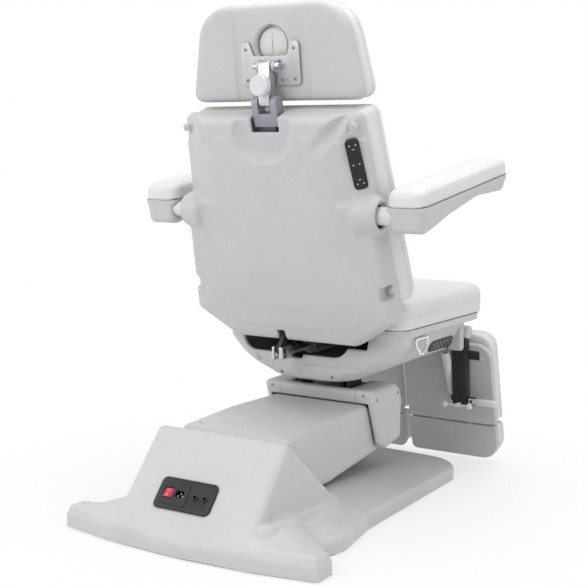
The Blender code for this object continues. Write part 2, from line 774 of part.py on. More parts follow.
def inlet(look_panel, look_rocker, base):
    panel = inlet_block(INLET_WIDTH, INLET_HEIGHT, CLEAR, INLET_PROUD, INLET_CORNER)
    soften(panel, 0.002, 1)
    boot = inlet_block(INLET_WIDTH - 0.012, INLET_HEIGHT - 0.012, BASE_WALL - INLET_DEPTH, INLET_PROUD / 2,
                       INLET_CORNER)
    join(panel, boot)
    rocker_at = (-INLET_WIDTH / 2 + 0.034, 0.0)
    socket_at = (-INLET_WIDTH / 2 + 0.070, 0.0)
    well = inlet_block(ROCKER_WIDTH + 0.001, ROCKER_HEIGHT + 0.0032, INLET_PROUD - 0.014, 0.02, 0.002, rocker_at)
    socket = inlet_block(SOCKET_WIDTH, SOCKET_HEIGHT, INLET_PROUD - SOCKET_DEPTH, 0.02, 0.003, socket_at)
    cuts = [well, socket]
    for index in range(2):
        jack_x = INLET_WIDTH / 2 - 0.026 - index * 0.030
        frame = inlet_frame()
        cuts.append(rod(frame @ Vector((jack_x, 0, INLET_PROUD - 0.010)), frame @ Vector((jack_x, 0, 0.02)),
                        0.0055))
    cut(panel, *cuts)
    finish(panel, "inlet_panel", look_panel, base)
    pivot = inlet_frame() @ Vector((*rocker_at, INLET_PROUD - 0.004))
    rocker_body = body("rocker", pivot, base)
    lift = math.tan(math.radians(ROCKER_TILT_DEG)) * ROCKER_HEIGHT / 2
    top = INLET_PROUD + 0.001
    low = INLET_PROUD - 0.008
    side = [(-ROCKER_HEIGHT / 2, low), (ROCKER_HEIGHT / 2, low), (ROCKER_HEIGHT / 2, top - lift),
            (0.0, top + 0.0005), (-ROCKER_HEIGHT / 2, top + lift)]
    rocker = prism(side, "X", rocker_at[0] - ROCKER_WIDTH / 2 + CLEAR, rocker_at[0] + ROCKER_WIDTH / 2 - CLEAR)
    rocker.data.transform(Matrix.Translation((0, rocker_at[1], 0)))
    rocker.data.transform(inlet_frame())
    finish(rocker, "power_switch", look_rocker, rocker_body)


# Actuators are a barrel with an eye at its foot and a rod that slides in it

def actuator(foot, head, barrel_radius, barrel_length, rod_radius, overlap, foot_pin, head_gap, half_width):
    """Barrel and rod between two points in a plane of constant x."""
    foot = Vector(foot)
    head = Vector(head)
    along = (head - foot).normalized()
    x = foot.x
    eye = barrel_radius * 0.55
    barrel = rod(foot + along * barrel_radius * 1.3, foot + along * barrel_length, barrel_radius, 20)
    neck_end = foot + along * barrel_radius * 1.6
    neck = prism(bar_outline(foot.yz, neck_end.yz, eye), "X", x - half_width, x + half_width)
    join(barrel, neck)
    bore = rod(head - along * 1e-3 - along * ((head - foot).length - barrel_length + overlap + 0.004), head,
               rod_radius + RUNNING_GAP)
    cut(barrel, pin(x - 1, x + 1, foot.y, foot.z, foot_pin + RUNNING_GAP), bore)
    rod_start = foot + along * (barrel_length - overlap)
    head_radius = head_gap + 0.008
    rod_shape = rod(rod_start, head - along * (head_radius - 0.003), rod_radius)
    ring = prism(bar_outline(head.yz - along.yz * 1e-4, head.yz, head_radius), "X",
                 x - half_width * 0.7, x + half_width * 0.7)
    join(rod_shape, ring)
    cut(rod_shape, pin(x - 1, x + 1, head.y, head.z, head_gap))
    return barrel, rod_shape


def lift_drive(look_barrel, look_rod, base):
    foot = (0.0, PIVOT_Y, PIVOT_Z - LIFT_ANCHOR_DROP)
    head = (0.0, PIVOT_Y - LIFT_PIN_REACH, PIVOT_Z + LIFT_PIN_RISE)
    barrel, rod_shape = actuator(foot, head, BARREL_RADIUS, BARREL_LENGTH, ROD_RADIUS, ROD_OVERLAP,
                                 LIFT_FOOT_PIN_RADIUS, LIFT_PIN_RADIUS + LIFT_EYE_GAP, 0.018)
    barrel_body = body("lift_actuator", foot, base)
    rod_body = body("lift_rod", foot, barrel_body)
    finish(barrel, "lift_actuator", look_barrel, barrel_body)
    finish(rod_shape, "lift_rod", look_rod, rod_body)


# Lifting arm

def arm_body(base):
    return body("arm", (0, PIVOT_Y, PIVOT_Z), base)


def arm_frame(look, arm):
    front_y, front_z = arm_front()
    outer = arm_plate_outer()
    bar = bar_outline((PIVOT_Y, PIVOT_Z), (front_y, front_z), ARM_PLATE_RADIUS)
    frame = prism(bar, "X", outer - ARM_PLATE, outer)
    other = prism(bar, "X", -outer, ARM_PLATE - outer)
    reach = outer - ARM_PLATE + BITE
    drive_pin = pin(-reach, reach, PIVOT_Y - LIFT_PIN_REACH, PIVOT_Z + LIFT_PIN_RISE, LIFT_PIN_RADIUS)
    tie = pin(-reach, reach, PIVOT_Y - 0.155, PIVOT_Z + 0.020, 0.008)
    stays = []
    for side in (1, -1):
        for y in (mix(PIVOT_Y, front_y, 0.28), mix(PIVOT_Y, front_y, 0.66)):
            ends = sorted((side * (outer - BITE), side * (arm_half(y - 0.010) - ARM_COVER_WALL - CLEAR)))
            stays.append(pin(*ends, y, PIVOT_Z + 0.008, 0.010))
    join(frame, drive_pin, tie, other, *stays)
    cut(frame, pin(-1, 1, PIVOT_Y, PIVOT_Z, AXLE_RADIUS + RUNNING_GAP, 20),
        pin(-1, 1, front_y, front_z, TRUNNION_RADIUS + RUNNING_GAP, 20))
    finish(frame, "arm_frame", look, arm)


def widened(shape, half, wall):
    """Spread a prism of an even half width to the plan of the arm cover, less a wall."""
    for vertex in shape.data.vertices:
        vertex.co.x *= (arm_half(vertex.co.y) - wall) / half
    return shape


def arm_cover(look, arm):
    front_y, front_z = arm_front()
    half = ARM_WIDTH / 2
    rear_z = ARM_TOP_Z - 0.0135
    corners = [
        (ARM_TOP_REAR_Y, rear_z, 0), (mix(ARM_TOP_REAR_Y, ARM_TOP_FRONT_Y, 0.48), ARM_TOP_Z, 0.5),
        (ARM_TOP_FRONT_Y, ARM_TOP_Z, 0), (front_y + 0.025, front_z + 0.028, 0.02),
        (front_y - 0.030, front_z + 0.010, 0.03), (front_y - 0.012, front_z - 0.076, 0.02),
        (mix(PIVOT_Y, front_y, 0.44), PIVOT_Z - ARM_BELLY_DROP, 0.2),
        (mix(PIVOT_Y, front_y, 0.087), PIVOT_Z - ARM_TAIL_DROP, 0.05), (PIVOT_Y + 0.033, PIVOT_Z - 0.030, 0.02),
        (PIVOT_Y + 0.022, PIVOT_Z + 0.016, 0.02),
    ]
    cover = prism(rounded(corners), "X", -half, half)
    soften(cover, 0.007, 2, 60)
    widened(cover, half, 0.0)
    roof = ARM_TOP_Z - ARM_COVER_WALL
    crest = mix(ARM_TOP_REAR_Y, ARM_TOP_FRONT_Y, 0.48)
    room = [(0.6, -0.1, 0), (0.6, rear_z - ARM_COVER_WALL, 0), (ARM_TOP_REAR_Y, rear_z - ARM_COVER_WALL, 0),
            (crest, roof, 0.5), (ARM_TOP_FRONT_Y + 0.004, roof, 0), (ARM_TOP_FRONT_Y + 0.004, 0.5, 0),
            (-0.6, 0.5, 0), (-0.6, -0.1, 0)]
    inside = half - ARM_COVER_WALL
    cut(cover, widened(prism(rounded(room), "X", -inside, inside), inside, ARM_COVER_WALL),
        pin(-1, 1, PIVOT_Y, PIVOT_Z, AXLE_RADIUS + 0.002, 20))
    finish(cover, "arm_cover", look, arm)


def level_link(look, base):
    front_y, front_z = arm_front()
    link_body = body("level_link", (0, PIVOT_Y, PIVOT_Z - LINK_DROP), base)
    bar = bar_outline((PIVOT_Y, PIVOT_Z - LINK_DROP), (front_y, front_z - LINK_DROP), LINK_RADIUS)
    link = prism(bar, "X", link_x(), link_x() + LINK_BAR)
    cut(link, pin(-1, 1, PIVOT_Y, PIVOT_Z - LINK_DROP, LINK_PIN_RADIUS + RUNNING_GAP),
        pin(-1, 1, front_y, front_z - LINK_DROP, LINK_PIN_RADIUS + RUNNING_GAP))
    finish(link, "level_link", look, link_body)


# Carriage

def carriage_bracket(look, carriage):
    front_y, front_z = arm_front()
    outer = bracket_outer()
    inner = outer - BRACKET_PLATE
    top = BRACKET_TOP_Z
    frame = block((-outer, front_y - 0.055, top - 0.010), (outer, front_y + 0.050, top))
    cheek = rounded([(front_y - 0.040, top - 0.002, 0), (front_y + 0.042, top - 0.002, 0),
                     (front_y + 0.020, front_z - LINK_DROP - 0.018, 0.015),
                     (front_y - 0.020, front_z - LINK_DROP - 0.018, 0.015)])
    lug = rounded([(TILT_Y - 0.030, top - BITE, 0), (TILT_Y + 0.030, top - BITE, 0),
                   (TILT_Y + 0.018, TILT_Z + 0.018, 0.014), (TILT_Y - 0.018, TILT_Z + 0.018, 0.014)])
    foot = rounded([(TILT_FOOT_Y - 0.022, top - BITE, 0), (TILT_FOOT_Y + 0.022, top - BITE, 0),
                    (TILT_FOOT_Y + 0.012, TILT_FOOT_Z + 0.012, 0.008),
                    (TILT_FOOT_Y - 0.012, TILT_FOOT_Z + 0.012, 0.008)])
    pieces = []
    for side in (1, -1):
        pieces.append(prism(cheek, "X", *sorted((side * inner, side * (outer - CLEAR)))))
        pieces.append(prism(lug, "X", *sorted((side * TILT_LUG_X, side * (TILT_LUG_X + TILT_LUG)))))
        pieces.append(pin(*sorted((side * (outer - BITE), side * (arm_plate_outer() + 0.006))), front_y, front_z,
                          TRUNNION_RADIUS, 20))
        ends = sorted((TILT_DRIVE_X + side * 0.0145, TILT_DRIVE_X + side * 0.0225))
        pieces.append(prism(foot, "X", *ends))
    pieces.append(pin(TILT_DRIVE_X - 0.0205, TILT_DRIVE_X + 0.0205, TILT_FOOT_Y, TILT_FOOT_Z, SMALL_PIN_RADIUS))
    pieces.append(pin(link_x() - 0.003, inner + BITE, front_y, front_z - LINK_DROP, LINK_PIN_RADIUS))
    roof = CARRIAGE_TOP_Z - CARRIAGE_WALL - ROOF_FALL
    for x in (inner, -inner):
        pieces.append(rod((x, front_y, top - BITE), (x, front_y, roof - CLEAR), 0.005))
    join(frame, *pieces)
    cut(frame, pin(TILT_LUG_X - 0.01, TILT_LUG_X + TILT_LUG + 0.01, TILT_Y, TILT_Z, TILT_PIN_RADIUS + RUNNING_GAP),
        pin(-TILT_LUG_X - TILT_LUG - 0.01, 0.01 - TILT_LUG_X, TILT_Y, TILT_Z, TILT_PIN_RADIUS + RUNNING_GAP))
    finish(frame, "carriage_bracket", look, carriage)


def saddle_profile(shrink):
    rear = CARRIAGE_REAR_Y - shrink
    front = CARRIAGE_FRONT_Y + shrink
    top = CARRIAGE_TOP_Z - shrink
    low = CARRIAGE_LOW_Z + shrink
    return rounded([
        (rear, top - 0.004, 0.012), (rear - 0.008, mix(low, top, 0.82), 0.05), (rear - 0.055, low + 0.018, 0.02),
        (rear - 0.096, low, 0.03), (front + 0.006, low + 0.016, 0.012), (front, mix(low, top, 0.62), 0.05),
        (front + 0.016, top - 0.014, 0.03), (front + 0.050, top, 0.03),
    ])


def carriage_covers(look, carriage):
    half = CARRIAGE_WIDTH / 2
    saddle = prism(saddle_profile(0.0), "X", -half, half)
    soften(saddle, 0.010, 2, 60)
    room = prism(saddle_profile(CARRIAGE_WALL), "X", CARRIAGE_WALL - half, half - CARRIAGE_WALL)
    gate = arm_half(-0.03) + SLOT_GAP
    front_y = arm_front()[0]
    passage = block((-gate, front_y - 0.045, 0.05), (gate, 0.1, CARRIAGE_LIP_Z))
    hatch = block((-0.100, front_y - 0.062, CARRIAGE_LIP_Z), (0.100, TILT_Y + 0.045, 0.5))
    cut(saddle, room, passage, hatch)
    seam = CARRIAGE_SEAM_X
    middle = keep(twin(saddle), block((SEAM_GAP / 2 - seam, -1, 0), (seam - SEAM_GAP / 2, 1, 1)))
    left = keep(twin(saddle), block((seam + SEAM_GAP / 2, -1, 0), (1, 1, 1)))
    right = keep(saddle, block((-1, -1, 0), (-seam - SEAM_GAP / 2, 1, 1)))
    finish(middle, "carriage_cover_middle", look, carriage)
    finish(left, "carriage_cover_left", look, carriage)
    finish(right, "carriage_cover_right", look, carriage)


def tilt_drive(look_barrel, look_rod, carriage):
    foot = (TILT_DRIVE_X, TILT_FOOT_Y, TILT_FOOT_Z)
    head = (TILT_DRIVE_X, TILT_HEAD_Y, TILT_HEAD_Z)
    barrel, rod_shape = actuator(foot, head, TILT_BARREL_RADIUS, TILT_BARREL_LENGTH, TILT_ROD_RADIUS,
                                 TILT_ROD_OVERLAP, SMALL_PIN_RADIUS, SMALL_PIN_RADIUS + 0.003, 0.014)
    barrel_body = body("tilt_actuator", foot, carriage)
    rod_body = body("tilt_rod", foot, barrel_body)
    finish(barrel, "tilt_actuator", look_barrel, barrel_body)
    finish(rod_shape, "tilt_rod", look_rod, rod_body)


# Seat

def seat_levels():
    """Levels of the seat shell, rim first: z, half-width at the rear, waist and front, rear y, front y."""
    half = SEAT_WIDTH / 2 - 0.003
    keel = SEAT_KEEL_WIDTH / 2
    rear = SEAT_REAR_Y
    front = SEAT_FRONT_Y
    toe = SEAT_FRONT_Y + SEAT_OVERHANG

    def height(share):
        return mix(SEAT_KEEL_Z, SEAT_SEAM_Z, share)

    return [
        (SEAT_SEAM_Z, half, half, half, rear, front),
        (SEAT_SEAM_Z - SEAT_LIP, half, half, half, rear, front + 0.002),
        (SEAT_SEAM_Z - SEAT_LIP - 0.008, half - 0.003, half - 0.029, half - 0.035, rear - 0.002, toe + 0.015),
        (height(0.67), half - 0.009, half - 0.043, half - 0.049, rear + 0.006, toe + 0.020),
        (height(0.415), half - 0.055, half - 0.059, half - 0.063, rear + 0.012, toe + 0.031),
        (height(0.325), half - 0.075, half - 0.073, half - 0.077, rear + 0.011, toe + 0.045),
        (height(0.235), half - 0.097, half - 0.107, half - 0.122, rear + 0.010, toe + 0.107),
        (height(0.127), half - 0.137, half - 0.147, half - 0.157, rear + 0.006, toe + 0.177),
        (SEAT_KEEL_Z, keel + 0.015, keel + 0.005, keel, rear, toe + 0.237),
    ]


def seat_solid(shrink):
    """Boat-shaped seat shell, wide and square at the rim and narrow at the keel."""
    levels = seat_levels()
    if shrink:
        levels.insert(0, (SEAT_SEAM_Z + 0.05, *levels[0][1:]))
    rings = []
    for z, at_rear, at_waist, at_front, rear, front in levels:
        height = z + shrink if z < SEAT_SEAM_Z else z
        corners = [(at_rear - shrink, rear - shrink, 0.045 - shrink), (at_waist - shrink, SEAT_WAIST_Y, 0),
                   (at_front - shrink, front + shrink, 0.030 - shrink)]
        ring = rounded(both_halves(corners), 3)
        rings.append([(x, y, height) for x, y in ring])
    return skin(rings)


def hinge_cover(side):
    """Apron of the seat shell behind a leg hinge."""
    rear = LEG_AXLE_Y + 0.047
    low, high = sorted((side * (LEG_BAR_X + 0.002), side * (LEG_BAR_X + LEG_BAR_WIDTH + 0.003)))
    apron = block((low, LEG_AXLE_Y + 0.0225, LEG_AXLE_Z - 0.052), (high, rear, SEAT_SEAM_Z - SEAT_LIP + 0.004))
    return soften(apron, 0.006, 2)


def seat_covers(look, seat):
    shell = seat_solid(0.0)
    face = ring_x()
    reach = RING_WIDTH / 2 + RING_BOSS
    join(shell, soften(block((face, RING_Y - reach, RING_Z - RING_BOSS), (face + 0.030, RING_Y + reach, RING_Z + RING_BOSS)),
                       0.004, 2))
    cut(shell, seat_solid(SEAT_WALL), seat_keypad_solid(CLEAR, -0.03, 0.03))
    for side in (1, -1):
        join(shell, hinge_cover(side))
    half = SEAT_OPENING_WIDTH / 2
    window = block((-half, SEAT_REAR_Y - 0.03, SEAT_OPENING_Z), (half, 0.2, 0.6))
    throat = CRANK_WIDTH / 2 + 0.018
    notch = block((BACK_DRIVE_X - throat, SEAT_REAR_Y - 0.03, SEAT_OPENING_Z - 0.012), (BACK_DRIVE_X + throat, 0.2, 0.6))
    hatch = block((-0.098, TILT_Y - 0.105, 0.2), (0.098, TILT_Y + 0.045, SEAT_KEEL_Z + 0.03))
    slots = []
    arm_low = RAIL_X + RAIL_WIDTH - BRACKET_PLATE - 0.006
    arm_high = RAIL_X + RAIL_WIDTH + 0.006
    for side in (1, -1):
        low, high = sorted((side * arm_low, side * arm_high))
        slots.append(block((low, -1, LEG_AXLE_Z - 0.035), (high, SEAT_FRONT_Y + 0.12, RAIL_Z + RAIL_HEIGHT + 0.008)))
    cut(shell, window, notch, hatch, *slots)
    lower = SEAT_KEEL_Z - 0.05
    plate_half = REAR_COVER_WIDTH / 2
    rear_y = SEAT_REAR_Y - 0.03
    plate = keep(twin(shell), block((-plate_half, rear_y, lower), (plate_half, 1, REAR_COVER_TOP_Z)))
    gap = SEAM_GAP
    cut(shell, block((-plate_half - gap, rear_y - gap, lower), (plate_half + gap, 1, REAR_COVER_TOP_Z + gap)))
    finish(shell, "seat_shell", look, seat)
    finish(plate, "seat_rear_cover", look, seat)


def seat_cushion(look, seat):
    half = SEAT_WIDTH / 2
    front = SEAT_FRONT_Y - SEAT_CUSHION_OVER
    outline = rounded([(half, SEAT_REAR_Y, 0.05), (half, front, 0.036), (-half, front, 0.036), (-half, SEAT_REAR_Y, 0.05)])
    depth = SEAT_CUSHION_REAR_Z - SEAT_SEAM_Z
    swell = SEAT_CUSHION_FRONT_Z - SEAT_CUSHION_REAR_Z

    def place(x, y, height):
        share = (SEAT_REAR_Y - y) / (SEAT_REAR_Y - front)
        return x, y, SEAT_SEAM_Z + CLEAR + height * (1 + swell / depth * math.sin(share * math.pi * 0.62))

    finish(cushion(outline, depth, 0.004, place, roll=0.024), "seat_cushion", look, seat)


def seat_frame(look, seat):
    top = RAIL_Z + RAIL_HEIGHT
    outer = RAIL_X + RAIL_WIDTH
    lug_x = BACK_LUG_X + BACK_LUG + BACK_LUG_GAP
    reach = lug_x + BACK_LUG
    frame = block((-reach, RAIL_REAR_Y - CROSS_TUBE, RAIL_Z), (reach, RAIL_REAR_Y, top))
    pieces = [block((-outer, RAIL_FRONT_Y, RAIL_Z), (outer, RAIL_FRONT_Y + CROSS_TUBE, top))]
    hanger = rounded([(TILT_Y - 0.035, RAIL_Z + BITE, 0), (TILT_Y + 0.035, RAIL_Z + BITE, 0),
                      (TILT_Y + 0.018, TILT_Z - 0.018, 0.014), (TILT_Y - 0.018, TILT_Z - 0.018, 0.014)])
    back_ear = bar_outline((RAIL_REAR_Y - CROSS_TUBE / 2, RAIL_Z + RAIL_HEIGHT / 2), (BACK_PIVOT_Y, BACK_PIVOT_Z),
                           BACK_LUG_RADIUS - 0.002)
    leg_ear = bar_outline((RAIL_FRONT_Y + 0.016, top - 0.016), (LEG_AXLE_Y, LEG_AXLE_Z), 0.016)
    for side in (1, -1):
        low, high = sorted((side * RAIL_X, side * outer))
        pieces.append(block((low, RAIL_FRONT_Y + BITE, RAIL_Z + CLEAR), (high, RAIL_REAR_Y - BITE, top - CLEAR)))
        pieces.append(prism(hanger, "X", *sorted((side * (RAIL_X + CLEAR), side * (RAIL_X + 0.010)))))
        pieces.append(pin(*sorted((side * (RAIL_X + BITE), side * (TILT_LUG_X - 0.002))), TILT_Y, TILT_Z,
                          TILT_PIN_RADIUS))
        pieces.append(prism(back_ear, "X", *sorted((side * lug_x, side * (reach - CLEAR)))))
        pieces.append(prism(leg_ear, "X", *sorted((side * (outer - BRACKET_PLATE), side * (outer - 2 * CLEAR)))))
        pieces.append(pin(*sorted((side * (outer - BITE), side * (STRUT_X + STRUT_EYE / 2 + 0.002))), STRUT_TOP_Y,
                          STRUT_TOP_Z, SMALL_PIN_RADIUS))
        pieces.append(prism(bar_outline((LEG_AXLE_Y, LEG_AXLE_Z), (STRUT_TOP_Y, STRUT_TOP_Z), 0.011), "X",
                            *sorted((side * (outer - BRACKET_PLATE + CLEAR), side * (outer - CLEAR)))))
    half_axle = LEG_AXLE_SPAN / 2
    pieces.append(pin(-half_axle, half_axle, LEG_AXLE_Y, LEG_AXLE_Z, LEG_AXLE_RADIUS))
    pieces.append(pin(-RAIL_X - BITE, RAIL_X + BITE, TILT_HEAD_Y, TILT_HEAD_Z, SMALL_PIN_RADIUS))
    anchor_z = crank_pin()[1]
    pieces.append(block((BACK_DRIVE_X - 0.028, BACK_ANCHOR_Y - 0.010, anchor_z - 0.02),
                        (RAIL_X + BITE, BACK_ANCHOR_Y, RAIL_Z + 0.010)))
    join(frame, *pieces)
    cut(frame, pin(lug_x - 0.01, reach + 0.01, BACK_PIVOT_Y, BACK_PIVOT_Z, BACK_PIN_RADIUS + RUNNING_GAP),
        pin(-reach - 0.01, 0.01 - lug_x, BACK_PIVOT_Y, BACK_PIVOT_Z, BACK_PIN_RADIUS + RUNNING_GAP))
    finish(frame, "seat_frame", look, seat)


def seat_side(y, z):
    """Outer face of the seat shell's right side at a place: its x and its lean."""
    levels = seat_levels()
    below = next(index for index, level in enumerate(levels) if level[0] <= z)

    def half_at(level):
        height, at_rear, at_waist, at_front, rear, front = level
        if y > SEAT_WAIST_Y:
            return mix(at_waist, at_rear, (y - SEAT_WAIST_Y) / (rear - SEAT_WAIST_Y))
        return mix(at_waist, at_front, (SEAT_WAIST_Y - y) / (SEAT_WAIST_Y - front))

    upper = levels[below - 1]
    lower = levels[below]
    share = (upper[0] - z) / (upper[0] - lower[0])
    lean = math.atan2(half_at(upper) - half_at(lower), upper[0] - lower[0])
    return -mix(half_at(upper), half_at(lower), share), lean


def seat_keypad_solid(grow, low, high):
    """Keypad of the seat, set into the right side of the shell."""
    x, lean = seat_side(SEAT_KEYPAD_Y, SEAT_KEYPAD_Z)
    half_length = KEYPAD_LENGTH / 2 + grow
    half_width = KEYPAD_WIDTH / 2 + grow
    radius = half_width * 0.7
    outline = rounded([(half_length, half_width, radius), (half_length, -half_width, radius),
                       (-half_length, -half_width, radius), (-half_length, half_width, radius)])
    shape = prism(outline, "X", -high, -low)
    shape.data.transform(Matrix.Translation((x, SEAT_KEYPAD_Y, SEAT_KEYPAD_Z)) @ Matrix.Rotation(-lean, 4, "Y"))
    return shape


def ring_x():
    """Face of the ring's seat, just proud of the shell at its rear end."""
    return seat_side(RING_Y + RING_WIDTH / 2 + RING_BOSS, RING_Z)[0] - 0.003


def seat_fittings(look_keypad, look_ring, seat):
    pad = soften(seat_keypad_solid(0.0, -KEYPAD_DEPTH, KEYPAD_PROUD), 0.0015, 1)
    finish(pad, "seat_keypad", look_keypad, seat)
    wire_x = ring_x() - RING_WIRE - 0.0006
    ring_body = body("hanger_ring", (wire_x, RING_Y, RING_Z), seat)
    half = RING_WIDTH / 2
    path = rounded([(half, 0, 0.004), (half, -RING_DROP, 0.022), (-half, -RING_DROP, 0.022), (-half, 0, 0.004)])
    curve = bpy.data.curves.new("ring", "CURVE")
    curve.dimensions = "3D"
    curve.bevel_depth = RING_WIRE
    curve.bevel_resolution = 1
    spline = curve.splines.new("POLY")
    spline.points.add(len(path) - 1)
    for point, (along, drop) in zip(spline.points, path):
        point.co = (wire_x, RING_Y + along, RING_Z + drop, 1)
    spline.use_cyclic_u = True
    wire = bpy.data.objects.new("ring", curve)
    bpy.context.scene.collection.objects.link(wire)
    graph = bpy.context.evaluated_depsgraph_get()
    mesh = bpy.data.meshes.new_from_object(wire.evaluated_get(graph))
    bpy.data.objects.remove(wire)
    bm = bmesh.new()
    bm.from_mesh(mesh)
    finish(solid(bm), "hanger_ring", look_ring, ring_body)


# Back

def back_side(z):
    """Half-width of the back at a height: its sides are straight and spread downwards."""
    return mix(BACK_TOP_WIDTH / 2, BACK_LOW_WIDTH / 2, (BACK_TOP - z) / (BACK_TOP - BACK_SHOULDER))


def back_outline(bottom=None):
    """Outline of the back across (x) and along it (z)."""
    corners = [(BACK_TOP_WIDTH / 2, BACK_TOP, 0.022)]
    for z in (BACK_CREASE + 0.020, BACK_CREASE):
        corners.append((back_side(z), z, 0))
    if bottom is None:
        corners.append((BACK_LOW_WIDTH / 2, BACK_SHOULDER, 0.030))
        corners.append((BACK_TONGUE_WIDTH / 2, BACK_BOTTOM, 0.050))
    else:
        corners.append((back_side(bottom), bottom, 0.030))
    return rounded(both_halves(corners))


def back_solid(shrink):
    """Shell of the back: rim, turned edges and a crowned rear face. Above the crease the sides are cut back."""
    profile = [(0.0, 0.0, 0.0), (0.002, 0.022, 0.012), (0.006, 0.044, 0.022), (0.014, 0.058, 0.028),
               (0.030, 0.066, 0.038), (0.062, 0.069, 0.057), (0.100, 0.072, 0.070), (0.180, BACK_DEPTH, BACK_DEPTH)]
    rings = []
    for index, (inset, full, pared) in enumerate(profile):

        def place(x, z, index=index, inset=inset, full=full, pared=pared):
            above = min(max((z - BACK_CREASE) / 0.018, 0.0), 1.0)
            beside = min(max((abs(x) + inset - 0.215) / 0.030, 0.0), 1.0)
            depth = BACK_RIM + mix(full, pared, above * beside) - shrink
            if index == 0 and shrink:
                depth = BACK_RIM - 0.01
            return x, depth, z

        rings.append(inset_ring(back_outline(), inset + shrink, place))
    return skin(rings)


def crank_pin():
    """Rod end of the back drive: its y at rest and the height at which its rod runs."""
    angle = math.radians(CRANK_BACK_DEG)
    y = BACK_PIVOT_Y + CRANK_LENGTH * math.sin(angle)
    z = BACK_PIVOT_Z - CRANK_LENGTH * (1 + math.cos(angle)) / 2
    return y, z


def back_recesses(grow):
    """Scoop under the headrest and screw pockets in the turned edges, grown for the hollow behind them."""
    half = SCOOP_WIDTH / 2 + grow
    low = SCOOP_LOW - grow
    rings = []
    for depth, inset in ((BACK_DEPTH, 0.0), (SCOOP_FLOOR - grow, SCOOP_SLOPE)):
        width = half - inset
        corners = [(width, BACK_TOP + 0.1, 0), (width, low + inset, width * 0.9), (-width, low + inset, width * 0.9),
                   (-width, BACK_TOP + 0.1, 0)]
        rings.append([(x, depth, z) for x, z in rounded(corners, 4)])
    recesses = [skin(rings)]
    tall = POCKET_HEIGHT / 2 + grow
    for start, rise, floor in ((UPPER_POCKET_X, UPPER_POCKET_RISE, -0.004), (LOWER_POCKET_X, LOWER_POCKET_RISE, -0.014)):
        for side in (1, -1):
            low_x, high_x = sorted((side * (start - grow), side * BACK_WIDTH))
            recesses.append(block((low_x, floor - grow, rise - tall), (high_x, 0.2, rise + tall)))
    return recesses


def socket_boss(side):
    """Tapered boss round an armrest shaft."""
    end = BACK_WIDTH / 2 - 0.001
    rings = []
    for x, radius in ((end - BOSS_LENGTH, BOSS_ROOT_RADIUS), (end, BOSS_END_RADIUS)):
        ring = []
        for step in range(20):
            angle = 2 * math.pi * step / 20
            ring.append((side * x, max(radius * math.cos(angle), BACK_RIM), SOCKET_RISE + radius * math.sin(angle)))
        rings.append(ring)
    return skin(rings)


def back_shell(look, back):
    shell = back_solid(0.0)
    cut(shell, *back_recesses(0.0))
    boss_x = BACK_WIDTH / 2
    join(shell, socket_boss(1), socket_boss(-1))
    hollow = back_solid(BACK_WALL)
    cut(hollow, *back_recesses(BACK_WALL))
    sleeve = SHAFT_RADIUS + SLEEVE_WALL + 0.001
    bores = [pin(*sorted((side * (boss_x - 0.11), side * (boss_x + 0.1))), 0.0, SOCKET_RISE, sleeve, 20)
             for side in (1, -1)]
    tongue = BACK_TONGUE_WIDTH / 2 - 0.012
    foot = block((-tongue, -0.2, BACK_BOTTOM - 0.1), (tongue, BACK_LUG_RADIUS + 0.006, 0.030))
    crank = block((BACK_DRIVE_X - CRANK_WIDTH / 2 - 0.006, -0.2, BACK_BOTTOM - 0.1),
                  (BACK_DRIVE_X + CRANK_WIDTH / 2 + 0.006, 0.2, 0.012))
    fork = FORK_WIDTH / 2 + 0.005
    slot = block((-fork, -0.2, FORK_RISE - FORK_FOOT - 0.012), (fork, 0.2, BACK_TOP + 0.1))
    cut(shell, hollow, *bores, foot, crank, slot, keypad_solid(CLEAR, -0.03, 0.03))
    finish(shell, "back_shell", look, back, own_frame=True)


def back_cushion(look, back):
    outline = back_outline(BACK_CUSHION_BOTTOM)

    def place(x, z, height):
        return x, BACK_RIM - CLEAR - height, z

    finish(cushion(outline, BACK_CUSHION, BACK_CROWN, place, roll=0.026), "back_cushion", look, back, own_frame=True)


